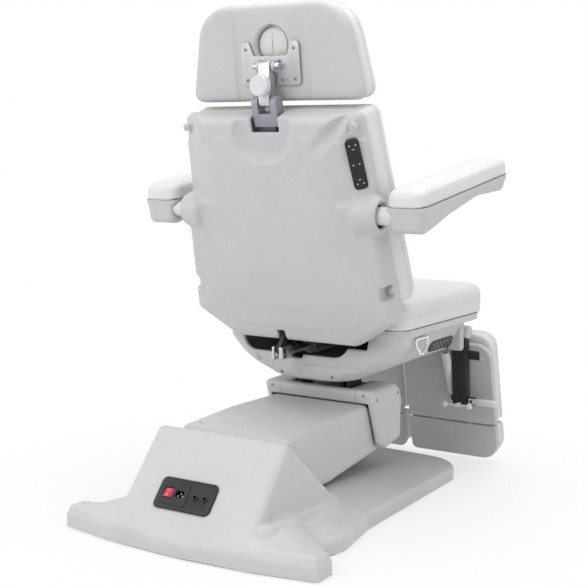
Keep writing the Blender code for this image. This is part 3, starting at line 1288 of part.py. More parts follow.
def back_frame(look, back):
    front = BACK_RIM + 0.006
    tube_top = FORK_RISE - FORK_FOOT - 0.020
    frame = block((-BACK_LUG_X - BACK_LUG, front, 0.040), (BACK_LUG_X + BACK_LUG, front + BACK_TUBE, 0.080))
    pieces = []
    ear = bar_outline((0.0, 0.0), (front + BACK_TUBE / 2, 0.060), BACK_LUG_RADIUS)
    for side in (1, -1):
        low, high = sorted((side * BACK_TUBE_X, side * (BACK_TUBE_X + BACK_TUBE)))
        pieces.append(block((low, front + CLEAR, 0.042), (high, front + BACK_TUBE - CLEAR, tube_top)))
        pieces.append(prism(ear, "X", *sorted((side * BACK_LUG_X, side * (BACK_LUG_X + BACK_LUG - CLEAR)))))
        pin_end = BACK_LUG_X + 2 * BACK_LUG + BACK_LUG_GAP + 0.002
        pieces.append(pin(*sorted((side * (BACK_LUG_X + BITE), side * pin_end)), 0, 0, BACK_PIN_RADIUS))
        sleeve_end = BACK_WIDTH / 2 - 0.016
        pieces.append(pin(*sorted((side * (BACK_TUBE_X + BITE), side * sleeve_end)), 0, SOCKET_RISE,
                          SHAFT_RADIUS + SLEEVE_WALL, 20))
    beam = BACK_TUBE_X + BACK_TUBE / 2
    pieces.append(block((-beam, front + 2 * CLEAR, tube_top - 0.060), (beam, front + BACK_TUBE + 0.004, tube_top - 0.008)))
    turn = math.radians(CRANK_BACK_DEG + BACK_LEAN_DEG)
    crank_end = (CRANK_LENGTH * math.sin(turn), -CRANK_LENGTH * math.cos(turn))
    low_x = BACK_DRIVE_X - CRANK_WIDTH / 2
    high_x = BACK_DRIVE_X + CRANK_WIDTH / 2
    pieces.append(prism(bar_outline((front + BACK_TUBE / 2, 0.060), (0, 0), 0.012), "X", low_x, high_x))
    pieces.append(prism(bar_outline((0, 0), crank_end, 0.0115), "X", low_x + CLEAR, high_x - CLEAR))
    pieces.append(pin(low_x - 0.012, high_x + 0.012, *crank_end, SMALL_PIN_RADIUS))
    join(frame, *pieces)
    bores = [pin(*sorted((side * (BACK_TUBE_X + BACK_TUBE + 0.02), side * 0.5)), 0, SOCKET_RISE,
                 SHAFT_RADIUS + RUNNING_GAP, 20) for side in (1, -1)]
    guide = block((-POST_WIDTH / 2 - RUNNING_GAP, POST_Y - POST_THICK / 2 - RUNNING_GAP, tube_top - 0.1),
                  (POST_WIDTH / 2 + RUNNING_GAP, POST_Y + POST_THICK / 2 + RUNNING_GAP, tube_top + 0.1))
    cut(frame, *bores, guide)
    finish(frame, "back_frame", look, back, own_frame=True)


def back_drive(look_barrel, look_rod, seat):
    pin_y, run_z = crank_pin()
    gap = BACK_EYE_GAP
    fork = 0.011
    barrel = rod((BACK_DRIVE_X, BACK_ANCHOR_Y + CLEAR, run_z),
                 (BACK_DRIVE_X, BACK_ANCHOR_Y + BACK_BARREL_LENGTH, run_z), BARREL_RADIUS - 0.004, 20)
    cut(barrel, rod((BACK_DRIVE_X, BACK_ANCHOR_Y + BACK_BARREL_LENGTH - BACK_ROD_OVERLAP - 0.080, run_z),
                    (BACK_DRIVE_X, 0.2, run_z), ROD_RADIUS + RUNNING_GAP))
    start_y = BACK_ANCHOR_Y + BACK_BARREL_LENGTH - BACK_ROD_OVERLAP
    shaft = rod((BACK_DRIVE_X, start_y, run_z), (BACK_DRIVE_X, pin_y - gap - 0.022, run_z), ROD_RADIUS)
    reach = CRANK_WIDTH / 2 + fork
    head = block((BACK_DRIVE_X - reach, pin_y - gap - 0.024, run_z - gap - 0.005),
                 (BACK_DRIVE_X + reach, pin_y + gap + 0.004, run_z + gap + 0.005))
    soften(head, 0.004, 2)
    join(shaft, head)
    throat = block((BACK_DRIVE_X - CRANK_WIDTH / 2 - 0.002, pin_y - gap - 0.016, run_z - 0.1),
                   (BACK_DRIVE_X + CRANK_WIDTH / 2 + 0.002, pin_y + 0.1, run_z + 0.1))
    slot = prism(bar_outline((pin_y, run_z - 0.001), (pin_y, run_z + 0.001), gap - 0.001), "X",
                 BACK_DRIVE_X - 0.1, BACK_DRIVE_X + 0.1)
    cut(shaft, throat, slot)
    rod_body = body("back_rod", (BACK_DRIVE_X, pin_y, run_z), seat)
    finish(barrel, "back_actuator", look_barrel, seat)
    finish(shaft, "back_rod", look_rod, rod_body)


def keypad_solid(grow, low, high):
    """Keypad of the back, set across the turned edge of the shell."""
    half_length = BACK_KEYPAD_LENGTH / 2 + grow
    half_width = BACK_KEYPAD_WIDTH / 2 + grow
    radius = half_width * 0.6
    outline = rounded([(half_width, half_length, radius), (half_width, -half_length, radius),
                       (-half_width, -half_length, radius), (-half_width, half_length, radius)])
    shape = prism(outline, "Y", low, high)
    turn = Matrix.Rotation(math.radians(BACK_KEYPAD_TURN_DEG), 4, "Z")
    tilt = Matrix.Rotation(math.radians(BACK_KEYPAD_TILT_DEG), 4, "Y")
    shape.data.transform(Matrix.Translation((BACK_KEYPAD_X, BACK_KEYPAD_Y, BACK_KEYPAD_RISE)) @ turn @ tilt)
    return shape


def back_keypad(look, back):
    pad = soften(keypad_solid(0.0, -KEYPAD_DEPTH, KEYPAD_PROUD), 0.0015, 1)
    finish(pad, "back_keypad", look, back, own_frame=True)


# Headrest

def fork_pivot(back):
    return in_frame(back, (0, POST_Y, FORK_RISE))


def head_pivot(back):
    return fork_pivot(back) + Vector((0, 0, HEAD_LINK))


def headrest_fork(look, post):
    half = FORK_WIDTH / 2
    prong = bar_outline((POST_Y, FORK_RISE), (POST_Y, FORK_RISE - FORK_FOOT + FORK_RADIUS), FORK_RADIUS)
    foot_top = FORK_RISE - FORK_RADIUS - 0.010
    fork = block((-half + 0.001, POST_Y - FORK_RADIUS + 0.001, FORK_RISE - FORK_FOOT),
                 (half - 0.001, POST_Y + FORK_RADIUS - 0.001, foot_top))
    pieces = [prism(prong, "X", *sorted((side * half, side * (half - FORK_PRONG)))) for side in (1, -1)]
    pieces.append(pin(BITE - half, half - BITE, POST_Y, FORK_RISE, HEAD_PIN_RADIUS))
    pieces.append(block((-POST_WIDTH / 2, POST_Y - POST_THICK / 2, FORK_RISE - FORK_FOOT - POST_LENGTH),
                        (POST_WIDTH / 2, POST_Y + POST_THICK / 2, foot_top - BITE)))
    join(fork, *pieces)
    finish(fork, "headrest_fork", look, post, own_frame=True)


def headrest_link(look, back, tilt):
    low = fork_pivot(back)
    high = head_pivot(back)
    half = HEAD_LINK_WIDTH / 2
    bar = bar_outline(low.yz, high.yz, 0.014)
    link = prism(bar, "X", -half, half)
    boss = rod((0, low.y, mix(low.z, high.z, 0.45)), (0, low.y + 0.0165, mix(low.z, high.z, 0.45)), 0.012)
    shaft = pin(-0.040, 0.040, high.y, high.z, HEAD_PIN_RADIUS)
    join(link, boss, shaft)
    cut(link, pin(-1, 1, low.y, low.z, HEAD_PIN_RADIUS + RUNNING_GAP))
    finish(link, "headrest_link", look, tilt)


def headrest_knob(look, back, tilt):
    low = fork_pivot(back)
    high = head_pivot(back)
    z = mix(low.z, high.z, 0.45)
    start_y = low.y + 0.0165 + CLEAR
    knob_body = body("headrest_knob", (0, start_y, z), tilt)
    knob = rod((0, start_y, z), (0, start_y + KNOB_LENGTH, z), KNOB_RADIUS, 24)
    soften(knob, 0.004, 2)
    finish(knob, "headrest_knob", look, knob_body)


def head_outline(grow=0.0):
    return rounded(both_halves([(HEAD_TOP_WIDTH / 2 + grow, HEAD_TOP + grow, HEAD_TOP_RADIUS),
                                (HEAD_WIDTH / 2 + grow, HEAD_BOTTOM - grow, 0.026)]))


def head_solid(shrink):
    rim = HEAD_REAR - HEAD_SHELL
    rings = []
    for index, (inset, rise) in enumerate(((0, 0), (0.002, 0.010), (0.010, 0.020), (0.022, 0.0245), (0.060, HEAD_SHELL))):
        depth = rim + rise - shrink
        if index == 0 and shrink:
            depth = rim - 0.01
        rings.append(inset_ring(head_outline(), inset + shrink, lambda x, z, depth=depth: (x, depth, z)))
    return skin(rings)


def headrest_pieces(looks, head):
    shell = cut(head_solid(0.0), head_solid(HEAD_WALL))
    hole = rod((0, -0.3, FACE_HOLE_RISE), (0, 0.3, FACE_HOLE_RISE), FACE_HOLE_RADIUS, 24)
    cut(shell, hole)
    finish(shell, "headrest_shell", looks["shell"], head, own_frame=True)
    rim = HEAD_REAR - HEAD_SHELL

    def place(x, z, height):
        return x, rim - CLEAR - height, z

    pad = cushion(head_outline(), HEAD_CUSHION, HEAD_CROWN, place)
    plug_radius = FACE_HOLE_RADIUS - 0.001
    cut(pad, rod((0, -0.3, FACE_HOLE_RISE), (0, 0.3, FACE_HOLE_RISE), FACE_HOLE_RADIUS, 24))
    finish(pad, "headrest_cushion", looks["cushion"], head, own_frame=True)
    face = rim - HEAD_CUSHION - HEAD_CROWN * 0.8
    rings = []
    for depth, radius in ((face - 0.004, plug_radius * 0.6), (face, plug_radius * 0.9), (face + 0.006, plug_radius),
                          (HEAD_REAR - 0.008, plug_radius), (HEAD_REAR - 0.003, plug_radius * 0.88),
                          (HEAD_REAR - 0.001, plug_radius * 0.5)):
        rings.append([(radius * math.cos(2 * math.pi * step / 24), depth,
                       FACE_HOLE_RISE + radius * math.sin(2 * math.pi * step / 24)) for step in range(24)])
    finish(skin(rings), "headrest_plug", looks["cushion"], head, own_frame=True)
    half = HEAD_PLATE_WIDTH / 2
    notch = HEAD_PLATE_NOTCH / 2
    corners = [(half, HEAD_PLATE_TOP, 0.010), (half, HEAD_PLATE_BOTTOM, 0.012), (-half, HEAD_PLATE_BOTTOM, 0.012),
               (-half, HEAD_PLATE_TOP, 0.010), (-notch - 0.012, HEAD_PLATE_TOP, 0.006),
               (-notch, HEAD_NOTCH_LOW, 0.010), (notch, HEAD_NOTCH_LOW, 0.010), (notch + 0.012, HEAD_PLATE_TOP, 0.006)]
    plate = prism(rounded(corners), "Y", HEAD_REAR + CLEAR, HEAD_REAR + HEAD_PLATE)
    lug_x = HEAD_LINK_WIDTH / 2 + 0.002
    ear = rounded([(HEAD_REAR + HEAD_PLATE - BITE, -0.022, 0), (HEAD_REAR + HEAD_PLATE - BITE, 0.011, 0),
                   (0.010, 0.013, 0.010), (0.010, -0.013, 0.010)])
    ears = [prism(ear, "X", *sorted((side * lug_x, side * (lug_x + HEAD_LUG)))) for side in (1, -1)]
    join(plate, *ears)
    cut(plate, pin(-1, 1, 0, 0, HEAD_PIN_RADIUS + RUNNING_GAP))
    finish(plate, "headrest_plate", looks["plate"], head, own_frame=True)


# Armrests

def armrest_seam(y):
    """Height of the line between an armrest's shell and its pad."""
    return ARMREST_SEAM_Z + (ARMREST_REAR_Y - y) * math.tan(math.radians(ARMREST_SLOPE_DEG))


def armrest_section():
    """Bar along the armrest with an upright band and sides that draw in below it."""
    inner = ARMREST_X
    outer = ARMREST_X + ARMREST_WIDTH
    step = 0.002
    deep = 0.080
    corners = [(inner, 0.02, 0), (outer, 0.02, 0), (outer, -ARMREST_LIP, 0), (outer - step, -ARMREST_LIP - step, 0),
               (outer - ARMREST_DRAW, -deep, 0.012), (inner + ARMREST_DRAW, -deep, 0.012),
               (inner + step, -ARMREST_LIP - step, 0), (inner, -ARMREST_LIP, 0)]
    bar = prism(rounded(corners), "Y", -1, 1)
    slope = math.tan(math.radians(ARMREST_SLOPE_DEG))
    shear = Matrix.Identity(4)
    shear[2][1] = -slope
    shear[2][3] = ARMREST_SEAM_Z + ARMREST_REAR_Y * slope
    bar.data.transform(shear)
    return bar


def armrest(side, label, looks, back):
    pivot = in_frame(back, (0, 0, SOCKET_RISE))
    owner = body("armrest_" + label, pivot, back)
    seam = armrest_seam
    inner = ARMREST_X
    outer = ARMREST_X + ARMREST_WIDTH
    front = ARMREST_FRONT_Y
    rear = ARMREST_REAR_Y
    belly = [(0.000, 0.060, 0.010), (0.040, 0.070, 0.03), (0.090, 0.063, 0.06), (0.160, 0.048, 0.08), (0.330, 0.029, 0.20),
             (0.485, 0.044, 0.05), (rear - front, 0.026, 0.012)]
    lower = [(rear - back_by, seam(rear - back_by) - drop, radius) for back_by, drop, radius in belly]
    profile = rounded([(rear, seam(rear), 0)] + lower + [(front, seam(front), 0)])
    nose = ARMREST_NOSE_RADIUS
    plan = rounded([(outer, rear, 0.030), (outer, front, nose), (inner, front, nose), (inner, rear, 0.030)])
    shell = keep(prism(profile, "X", inner - 0.02, outer + 0.02), prism(plan, "Z", 0.5, 1.2))
    keep(shell, armrest_section())
    cut(shell, pin(inner - 0.1, inner + SHAFT_INSIDE, pivot.y, pivot.z, SHAFT_RADIUS + CLEAR, 20))
    finish(sided(shell, side), "armrest_shell_" + label, looks["shell"], owner)

    def place(x, y, height):
        return x, y, seam(y) + CLEAR + height

    pad = cushion(plan, ARMREST_PAD, ARMREST_CROWN, place, roll=0.016, pull=0.004)
    finish(sided(pad, side), "armrest_pad_" + label, looks["cushion"], owner)
    start_x = BACK_TUBE_X + BACK_TUBE + 0.06
    shaft = pin(start_x, inner + SHAFT_INSIDE - CLEAR, pivot.y, pivot.z, SHAFT_RADIUS, 20)
    finish(sided(shaft, side), "armrest_shaft_" + label, looks["shaft"], owner)


# Leg rests

def hung(shape):
    """Turns an upright board about the slit line to its resting lean."""
    centre = Vector((0, LEG_PANEL_Y, LEG_SLIT_Z))
    turn = Matrix.Rotation(math.radians(-LEG_TILT_DEG), 4, "X")
    shape.data.transform(Matrix.Translation(centre) @ turn @ Matrix.Translation(-centre))
    return shape


def leg_bar(look, side, label, leg):
    high_x = LEG_BAR_X + LEG_BAR_WIDTH
    foot_y = LEG_AXLE_Y - LEG_BAR_LEAN
    half = LEG_BAR_DEPTH / 2
    hub = pin(LEG_BAR_X - 0.008, high_x + 0.004, LEG_AXLE_Y, LEG_AXLE_Z, LEG_HUB_RADIUS, 20)
    bar = prism([(LEG_AXLE_Y + half, LEG_AXLE_Z), (LEG_AXLE_Y - half, LEG_AXLE_Z), (foot_y - half, LEG_BAR_FOOT_Z),
                 (foot_y + half, LEG_BAR_FOOT_Z)], "X", LEG_BAR_X, high_x)
    panel_y = LEG_PANEL_Y + CLEAR
    upper_z = LEG_PANEL_TOP_Z - 0.045
    lower_z = LEG_BAR_FOOT_Z + 0.008
    pieces = [bar]
    for low_x, z, reach_x, web_x, web in ((high_x - 0.012, upper_z, high_x + 0.030, high_x - 0.012, 0.018),
                                          (LEG_BAR_X - 0.030, lower_z, LEG_BAR_X + 0.012, LEG_BAR_X, 0.040)):
        pieces.append(hung(block((low_x, panel_y, z), (reach_x, panel_y + TAB, z + 0.026))))
        pieces.append(hung(block((web_x + CLEAR, panel_y + CLEAR, z + CLEAR), (web_x + 0.0117, panel_y + web, z + 0.025))))
    pieces.append(pin(STRUT_X + STRUT_RADIUS + 0.001, LEG_BAR_X + BITE, STRUT_LOW_Y, STRUT_LOW_Z, STRUT_ROD_RADIUS))
    pieces.append(block((LEG_BAR_X + CLEAR, STRUT_LOW_Y - 0.007, STRUT_LOW_Z - 0.009), (LEG_BAR_X + 0.010, foot_y, STRUT_LOW_Z + 0.009)))
    ear_y = foot_y + half - 0.016
    pieces.append(block((high_x - BITE, ear_y, LEVER_Z - 0.012), (LEVER_X + 0.010, ear_y + 0.008, LEVER_Z + 0.012)))
    pin_start = ear_y + 0.006
    pieces.append(rod((LEVER_X, pin_start, LEVER_Z), (LEVER_X, ear_y + 0.010 + LEVER_PLATE, LEVER_Z), LEVER_PIN_RADIUS, 12))
    join(hub, *pieces)
    handle_x = LEG_BAR_X + LEG_BAR_WIDTH / 2
    cut(hub, pin(-1, 1, LEG_AXLE_Y, LEG_AXLE_Z, LEG_AXLE_RADIUS + RUNNING_GAP, 20),
        rod((handle_x, foot_y - half + 0.006, HANDLE_Z), (handle_x, 0, HANDLE_Z), STRUT_ROD_RADIUS + CLEAR))
    finish(sided(hub, side), "leg_bar_" + label, look, leg)


def gas_strut(looks, side, label, seat):
    """Strut with its rod hung on the seat frame and its tube running down to the leg bar."""
    top = Vector((STRUT_X, STRUT_TOP_Y, STRUT_TOP_Z))
    low = Vector((STRUT_X, STRUT_LOW_Y, STRUT_LOW_Z))
    along = (low - top).normalized()
    half = STRUT_EYE / 2
    mouth = low - along * STRUT_TUBE
    tube = rod(mouth, low - along * 0.006, STRUT_RADIUS, 20)
    join(tube, pin(STRUT_X - half, STRUT_X + half, low.y, low.z, 0.0115))
    cut(tube, rod(top, mouth + along * (STRUT_ROD_OVERLAP + 0.004), STRUT_ROD_RADIUS + RUNNING_GAP))
    shaft = rod(top + along * 0.008, mouth + along * STRUT_ROD_OVERLAP, STRUT_ROD_RADIUS)
    join(shaft, pin(STRUT_X - half, STRUT_X + half, top.y, top.z, 0.0115))
    cut(shaft, pin(0, 1, top.y, top.z, SMALL_PIN_RADIUS + RUNNING_GAP))
    rod_body = body("strut_rod_" + label, (0, top.y, top.z), seat)
    tube_body = body("gas_strut_" + label, (0, top.y, top.z), rod_body)
    finish(sided(shaft, side), "strut_rod_" + label, looks["rod"], rod_body)
    finish(sided(tube, side), "gas_strut_" + label, looks["tube"], tube_body)


def leg_handles(looks, side, label, leg):
    foot_y = LEG_AXLE_Y - LEG_BAR_LEAN
    half = LEG_BAR_DEPTH / 2
    plate_y = foot_y + half - 0.008 + CLEAR
    grip_x = LEVER_X + 0.022
    lever = block((LEVER_X - 0.008, plate_y, LEVER_Z - 0.008), (grip_x + 0.006, plate_y + LEVER_PLATE, LEVER_Z + 0.008))
    join(lever, pin(grip_x, grip_x + GRIP_LENGTH, plate_y + LEVER_PLATE / 2, LEVER_Z, GRIP_RADIUS))
    cut(lever, rod((LEVER_X, -1, LEVER_Z), (LEVER_X, 0, LEVER_Z), LEVER_PIN_RADIUS + RUNNING_GAP, 12))
    lever_body = body("release_lever_" + label, (side * LEVER_X, plate_y, LEVER_Z), leg)
    finish(sided(lever, side), "release_lever_" + label, looks["grip"], lever_body)
    handle_x = LEG_BAR_X + LEG_BAR_WIDTH / 2
    face_y = foot_y + half
    bar_y = face_y + HANDLE_STANDOFF
    screw = rod((handle_x, face_y - 0.012, HANDLE_Z), (handle_x, bar_y + 0.006, HANDLE_Z), STRUT_ROD_RADIUS)
    reach = HANDLE_SPAN / 2
    join(screw, pin(handle_x - reach, handle_x + reach, bar_y, HANDLE_Z, 0.004, 12),
         ball((handle_x - reach, bar_y, HANDLE_Z), HANDLE_BALL_RADIUS),
         ball((handle_x + reach, bar_y, HANDLE_Z), HANDLE_BALL_RADIUS))
    handle_body = body("clamp_handle_" + label, (side * handle_x, face_y, HANDLE_Z), leg)
    finish(sided(screw, side), "clamp_handle_" + label, looks["handle"], handle_body)


def leg_pads(looks, side, label, leg):
    rear = LEG_PANEL_Y
    front = LEG_PANEL_Y - LEG_PANEL
    mid_y = (rear + front) / 2
    slit_low = LEG_SLIT_Z - LEG_SLIT / 2
    slit_high = LEG_SLIT_Z + LEG_SLIT / 2
    guides = (GUIDE_INNER_X, GUIDE_OUTER_X)

    def board(low_z, high_z, corners):
        inner_top, outer_top, outer_low, inner_low = corners
        return rounded([(LEG_INNER_X, high_z, inner_top), (LEG_OUTER_X, high_z, outer_top),
                        (LEG_OUTER_X, low_z, outer_low), (LEG_INNER_X, low_z, inner_low)])

    def place(x, z, height):
        return x, front - CLEAR - height, z

    leg_corners = (0.015, 0.045, 0.010, 0.010)
    foot_corners = (0.010, 0.010, FOOT_CORNER, 0.018)
    panel = prism(board(slit_high, LEG_PANEL_TOP_Z, leg_corners), "Y", front, rear)
    soften(panel, 0.003, 1)
    cut(panel, *[rod((x, mid_y, 0), (x, mid_y, GUIDE_BORE_TOP_Z), GUIDE_RADIUS + RUNNING_GAP, 12) for x in guides])
    finish(sided(hung(panel), side), "leg_panel_" + label, looks["panel"], leg)
    pad = cushion(board(slit_high + 0.001, LEG_CUSHION_TOP_Z, leg_corners), LEG_CUSHION, LEG_CROWN, place, roll=0.024)
    finish(sided(hung(pad), side), "leg_cushion_" + label, looks["cushion"], leg)
    foot_body = body("foot_" + label, (0, mid_y, LEG_SLIT_Z), leg)
    foot = prism(board(FOOT_BOTTOM_Z, slit_low, foot_corners), "Y", front, rear)
    soften(foot, 0.003, 1)
    join(foot, *[rod((x, mid_y, slit_low - 0.010), (x, mid_y, GUIDE_TOP_Z), GUIDE_RADIUS, 12) for x in guides])
    finish(sided(hung(foot), side), "foot_panel_" + label, looks["panel"], foot_body)
    pad = cushion(board(FOOT_BOTTOM_Z, slit_low - 0.001, foot_corners), LEG_CUSHION, LEG_CROWN, place, roll=0.024)
    finish(sided(hung(pad), side), "foot_cushion_" + label, looks["cushion"], foot_body)


def build():
    clear_scene()
    white = paint("white_cover", (0.66, 0.66, 0.67), 0.45)
    grey = paint("grey_cover", (0.55, 0.55, 0.56), 0.45)
    hide = paint("white_upholstery", (0.80, 0.79, 0.77), 0.5)
    steel = paint("frame_steel", (0.08, 0.08, 0.085), 0.5, 0.6)
    zinc = paint("plated_steel", (0.60, 0.60, 0.62), 0.35, 0.9)
    chrome = paint("chrome", (0.80, 0.80, 0.82), 0.12, 1.0)
    dark = paint("black_plastic", (0.012, 0.012, 0.014), 0.4)
    red = paint("red_rocker", (0.65, 0.02, 0.04), 0.3)
    motor = paint("actuator_grey", (0.30, 0.30, 0.31), 0.5)
    cast = paint("fork_casting", (0.31, 0.31, 0.35), 0.4, 0.3)
    ivory = paint("white_plastic", (0.74, 0.74, 0.75), 0.35)

    base = body("base", (0, 0, 0))
    base_frame(steel, base)
    base_covers(white, grey, base)
    rear_axle(zinc, base)
    inlet(dark, red, base)
    lift_drive(motor, zinc, base)
    arm = arm_body(base)
    arm_frame(steel, arm)
    arm_cover(grey, arm)
    level_link(zinc, base)

    carriage = body("carriage", (0, *arm_front()), arm)
    carriage_bracket(steel, carriage)
    carriage_covers(grey, carriage)
    tilt_drive(motor, zinc, carriage)

    seat = body("seat", (0, TILT_Y, TILT_Z), carriage)
    seat_frame(steel, seat)
    seat_covers(grey, seat)
    seat_cushion(hide, seat)
    seat_fittings(dark, chrome, seat)

    back = body("back", (0, BACK_PIVOT_Y, BACK_PIVOT_Z), seat, BACK_LEAN_DEG)
    back_frame(steel, back)
    back_shell(grey, back)
    back_cushion(hide, back)
    back_keypad(dark, back)
    back_drive(motor, zinc, seat)

    post = body("headrest_post", in_frame(back, (0, 0, 0)), back, BACK_LEAN_DEG)
    headrest_fork(cast, post)
    tilt = body("headrest_link", fork_pivot(back), post)
    headrest_link(zinc, back, tilt)
    headrest_knob(ivory, back, tilt)
    head = body("headrest", head_pivot(back), tilt, HEAD_LEAN_DEG)
    headrest_pieces({"shell": grey, "cushion": hide, "plate": zinc}, head)

    for side, label in ((1, "left"), (-1, "right")):
        armrest(side, label, {"shell": grey, "cushion": hide, "shaft": ivory}, back)
        leg = body("leg_" + label, (0, LEG_AXLE_Y, LEG_AXLE_Z), seat)
        leg_bar(steel, side, label, leg)
        gas_strut({"tube": ivory, "rod": zinc}, side, label, seat)
        leg_handles({"grip": ivory, "handle": ivory}, side, label, leg)
        leg_pads({"panel": grey, "cushion": hide}, side, label, leg)


build()
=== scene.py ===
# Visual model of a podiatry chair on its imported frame. Metres, +Z up, the occupant faces -Y.
import functools
import json
import math

import bmesh
import bpy
import numpy as np
from mathutils import Matrix, Vector
from mathutils.bvhtree import BVHTree

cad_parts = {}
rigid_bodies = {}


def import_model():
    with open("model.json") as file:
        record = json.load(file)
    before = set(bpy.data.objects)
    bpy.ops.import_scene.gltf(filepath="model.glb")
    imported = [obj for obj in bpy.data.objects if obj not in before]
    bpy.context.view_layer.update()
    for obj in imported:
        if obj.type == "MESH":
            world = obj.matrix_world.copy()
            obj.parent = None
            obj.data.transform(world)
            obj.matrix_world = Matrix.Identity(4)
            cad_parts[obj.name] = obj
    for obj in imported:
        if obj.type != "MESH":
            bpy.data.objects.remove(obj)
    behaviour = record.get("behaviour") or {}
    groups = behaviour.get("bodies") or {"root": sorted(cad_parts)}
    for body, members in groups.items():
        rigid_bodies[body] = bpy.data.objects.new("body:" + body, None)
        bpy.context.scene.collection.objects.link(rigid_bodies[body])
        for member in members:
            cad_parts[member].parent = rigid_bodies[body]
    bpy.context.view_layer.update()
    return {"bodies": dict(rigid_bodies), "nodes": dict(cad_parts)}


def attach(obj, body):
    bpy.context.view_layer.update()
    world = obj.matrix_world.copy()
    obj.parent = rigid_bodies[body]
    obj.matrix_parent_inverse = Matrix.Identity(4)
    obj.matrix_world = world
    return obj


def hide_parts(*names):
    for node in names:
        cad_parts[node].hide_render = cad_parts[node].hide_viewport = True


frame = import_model()
NODES = frame["nodes"]
BODY_NAME = {empty.name: name for name, empty in frame["bodies"].items()}
SCENE = bpy.context.scene


def turn(degrees, axis):
    return Matrix.Rotation(math.radians(degrees), 4, axis)


SIDES = ((1, "left"), (-1, "right"))

# Frames of the leaning back and the headrest: x across, y out of the rear, z up along them
BACK = Matrix.Translation((0, 0.015, 0.480)) @ turn(-15, "X")
HEAD = Matrix.Translation((0, 0.16498, 1.18197)) @ turn(-7, "X")

# Rear face of the base tower, which leans forward from its foot to its ridge, and the inlet panel's frame on it
TOWER_REAR = 0.506
TOWER_RIDGE = 0.374
TOWER_FOOT = 0.105
TOWER_TOP = 0.264
SLOPE = math.atan2(TOWER_TOP - TOWER_FOOT, TOWER_REAR - TOWER_RIDGE)
INLET_UP = 0.0306
INLET = (Matrix.Translation((0.022, TOWER_REAR - INLET_UP * math.cos(SLOPE),
                             TOWER_FOOT + INLET_UP * math.sin(SLOPE)))
         @ Matrix.Rotation(math.pi, 4, "Z") @ Matrix.Rotation(SLOPE, 4, "X"))

# Seams between covers and the covers' walls
BASE_SPLIT = 0.126
SEAM = 0.0012
WALL = 0.003
BASE_WALL = 0.0035
ARM_WALL = 0.0025

# Rear plate of the seat, by its seams
PLATE_HALF = 0.1102
PLATE_TOP = 0.4022
PLATE_FRONT = -0.0622

# Mounting faces of the padding, and how it is swollen
SEAT_TOP = 0.492
BACK_FACE = -0.030
HEAD_FACE = -0.048
HEAD_PAD = 0.074
FACE_HOLE = 0.050
LEG_FACE = -0.632
SOFT_GAP = 0.0003
SWELL = 0.003
PRESSURE = 4.0
CLOTH_FRAMES = 20


# Materials

class Graph:
    """Short way to write shader nodes."""

    def __init__(self, tree):
        self.tree = tree

    def add(self, kind, inputs=None, **settings):
        node = self.tree.nodes.new("ShaderNode" + kind)
        for key, value in settings.items():
            setattr(node, key, value)
        for key, value in (inputs or {}).items():
            self.feed(node.inputs[key], value)
        return node

    def feed(self, socket, value):
        if isinstance(value, bpy.types.NodeSocket):
            self.tree.links.new(value, socket)
        else:
            socket.default_value = value

    def direct_rays(self):
        """1 for the rays that show the background itself: camera, glossy and transmission rays."""
        rays = self.add("LightPath").outputs
        seen = rays["Is Camera Ray"]
        for kind in ("Is Glossy Ray", "Is Transmission Ray"):
            seen = self.add("Math", {0: seen, 1: rays[kind]}, operation="MAXIMUM").outputs[0]
        return seen


class Look(Graph):
    """Short way to write a node material."""

    def __init__(self, name):
        self.material = bpy.data.materials.new(name)
        self.material.use_nodes = True
        super().__init__(self.material.node_tree)
        self.shader = self.tree.nodes["Principled BSDF"]
        self.place = self.add("TexCoord").outputs["Object"]

    def set(self, **values):
        for key, value in values.items():
            self.feed(self.shader.inputs[key.replace("_", " ")], value)

    def noise(self, scale, detail=3.0, stretch=(1, 1, 1)):
        at = self.place
        if stretch != (1, 1, 1):
            at = self.add("Mapping", {"Vector": self.place, "Scale": stretch}).outputs[0]
        return self.add("TexNoise", {"Vector": at, "Scale": scale, "Detail": detail}).outputs["Fac"]

    def remap(self, value, low, high, start=0.3, end=0.7):
        return self.add("MapRange", {"Value": value, "From Min": start, "From Max": end, "To Min": low,
                                     "To Max": high}).outputs[0]

    def sum(self, *terms):
        """Weighted sum of (weight, socket) pairs."""
        total = None
        for weight, socket in terms:
            inputs = {0: socket, 1: weight, 2: total if total is not None else 0.0}
            total = self.add("Math", inputs, operation="MULTIPLY_ADD").outputs[0]
        return total

    def blend(self, share, low, high):
        node = self.add("Mix", data_type="RGBA")
        self.feed(node.inputs[0], share)
        for index, colour in ((6, low), (7, high)):
            linked = isinstance(colour, bpy.types.NodeSocket)
            self.feed(node.inputs[index], colour if linked else (*colour, 1))
        return node.outputs[2]

    def bump(self, *layers):
        """Stack of (height socket, depth in metres, strength)."""
        normal = None
        for height, depth, strength in layers:
            inputs = {"Height": height, "Distance": depth, "Strength": strength}
            if normal is not None:
                inputs["Normal"] = normal
            normal = self.add("Bump", inputs).outputs[0]
        self.set(Normal=normal)

    def edges(self, start, end):
        """1 along worn, convex edges and 0 elsewhere."""
        return self.remap(self.add("NewGeometry").outputs["Pointiness"], 0.0, 1.0, start, end)


def tone(colour, factor):
    return tuple(min(1.0, channel * factor) for channel in colour)


